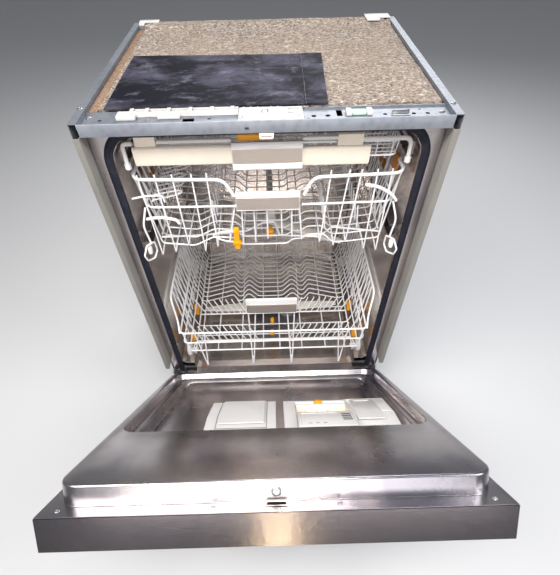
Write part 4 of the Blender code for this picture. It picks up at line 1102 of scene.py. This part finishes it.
def door_pan():
    """Pressed stainless liner: drilled flange, raised pan with rolled edges, ledges and recess."""
    flange, rim, ledge, deep = -9, 20, 3, -19
    foot = ring_outline(284.8, 21.8, 643.2, 30, 10)
    bm = bmesh.new()
    pierced(bm, oblong(-298.2, 298.2, -14.4, 665.4), [foot, oblong(-14, 14, 644.6, 657)], 0, 1)
    for vert in bm.verts:
        vert.co = Vector((vert.co.x, flange * MM + vert.co.z, vert.co.y))
    rings = [(284.8, 21.8, 643.2, 30, flange)]
    for step in range(1, 5):
        angle = radians(90 * step / 4)
        out = 0.8 * (1 - sin(angle))
        rings.append((284 + out, 22.6 - out, 642.4 + out, 29.5, flange + 1.6 * (1 - cos(angle))))
    rings.append((283.4, 23.2, 641.2, 29, rim - 4))
    for step in range(1, 6):
        angle = radians(90 * step / 5)
        inset = 3.4 * (1 - cos(angle))
        rings.append((283.4 - inset, 23.2 + inset, 641.2 - inset, 29 - inset, rim - 4 + 4 * sin(angle)))
    for inset, drop in ((0, 0), (1.2, 0.6), (2, 2.2), (2.6, rim - ledge - 1.6), (3.4, rim - ledge)):
        rings.append((269 - inset, 35 + inset, 464 - inset, 30 - inset, rim - drop))
    for inset, drop in ((0, 0), (1, 0.6), (3.2, ledge - deep - 1)):
        rings.append((249 - inset, 40 + inset * 1.4, 459 - inset * 1.4, 26 - inset, ledge - drop))
    rings.append((244.8, 45.8, 453, 22, deep))
    rings.append((244, 90, 452, 20, deep))
    skins = []
    for half, low, high, radius, n in rings:
        skin = []
        for x, l in ring_outline(half, low, high, radius, 10):
            lift = max(0, min(1.0, (62 - l) / 25)) if 34 < low < 80 and n < rim - 6 else 0
            skin.append((x, n + lift * (3 if n > 0 else 20), l))
        skins.append(skin)
    loft(bm, skins, caps=(-1,))
    for side in (-1, 1):
        lathe(bm, [(4.2, -3), (8.5, -3), (8.5, 3), (4.2, 3), (4.2, -3)], (side * 269, 0, 0), "X", 20)
        rbox(bm, (side * 269 - 3, flange - 0.6, -8), (side * 269 + 3, -5, 8), 0.4)
    finish_piece("door_pan", bm, "stainless", "door", DOOR, swap="door_liner", smooth=50)


door_pan()
salt_unit()
dispenser()
door_fittings()
mesh = nodes["door_outer_panel"].data
mesh.materials.clear()
mesh.materials.append(looks["door_front"].material)


# ------------------------------------------------------------------ studio
def floor():
    bm = bmesh.new()
    bmesh.ops.create_grid(bm, x_segments=1, y_segments=1, size=6.0)
    mesh = bpy.data.meshes.new("floor")
    bm.to_mesh(mesh)
    bm.free()
    pale = Look("studio_floor", (0.58, 0.58, 0.59), 0.75)
    mesh.materials.append(pale.material)
    obj = bpy.data.objects.new("floor", mesh)
    bpy.context.scene.collection.objects.link(obj)
    obj.location.z = CAD_BOX[0][2] - 0.0005


def lamp(name, place, target, size, power, colour=(1, 1, 1)):
    light = bpy.data.lights.new(name, "AREA")
    light.shape = "RECTANGLE"
    light.size, light.size_y = size
    light.energy = power
    light.color = colour
    obj = bpy.data.objects.new(name, light)
    bpy.context.scene.collection.objects.link(obj)
    obj.location = place
    obj.rotation_euler = (Vector(target) - Vector(place)).to_track_quat("-Z", "Y").to_euler()


def camera():
    """The photograph's camera, in front of the open door and looking down."""
    yaw, pitch, roll = (radians(angle) for angle in (0.34, -53.57, -1.35))
    ahead = Vector((sin(yaw) * cos(pitch), cos(yaw) * cos(pitch), sin(pitch)))
    level = Vector((cos(yaw), -sin(yaw), 0))
    over = level.cross(ahead)
    right = cos(roll) * level + sin(roll) * over
    up = -sin(roll) * level + cos(roll) * over
    data = bpy.data.cameras.new("camera")
    data.lens = 24.59
    data.shift_x, data.shift_y = 0.0042, 0.1385
    data.clip_start = 0.02
    obj = bpy.data.objects.new("camera", data)
    bpy.context.scene.collection.objects.link(obj)
    turn = Matrix((right, up, -ahead)).transposed().to_4x4()
    obj.matrix_world = Matrix.Translation((0.0043, -0.646 + FRONT_Y, 1.0579)) @ turn
    bpy.context.scene.camera = obj


floor()
camera()
world = bpy.data.worlds.new("studio")
world.use_nodes = True
background = world.node_tree.nodes["Background"].inputs
background["Color"].default_value = (0.9, 0.94, 1.0, 1)
background["Strength"].default_value = 0.22
bpy.context.scene.world = world
bpy.context.scene.view_settings.view_transform = "Standard"
lamp("key", (-1.1, -0.9, 2.2), (0, 0, 0.5), (1.1, 0.9), 37, (1.0, 0.98, 0.96))
lamp("fill", (1.5, -0.7, 1.9), (0, 0, 0.5), (0.9, 0.9), 18, (0.9, 0.95, 1.0))
lamp("front", (0.1, -2.2, 1.35), (0, 0.0, 0.45), (2.2, 0.9), 21, (0.99, 0.97, 0.97))
lamp("near", (0.0, -1.9, 0.62), (0, -0.3, 0.62), (0.02, 0.5), 1.3, (1.0, 0.8, 0.5))
lamp("over", (0.0, -0.75, 1.75), (0, 0.12, 0.4), (0.6, 0.3), 17, (1.0, 0.97, 0.93))
lamp("back", (0.4, 1.9, 2.0), (0, 0, 0.5), (1.6, 1.0), 34)
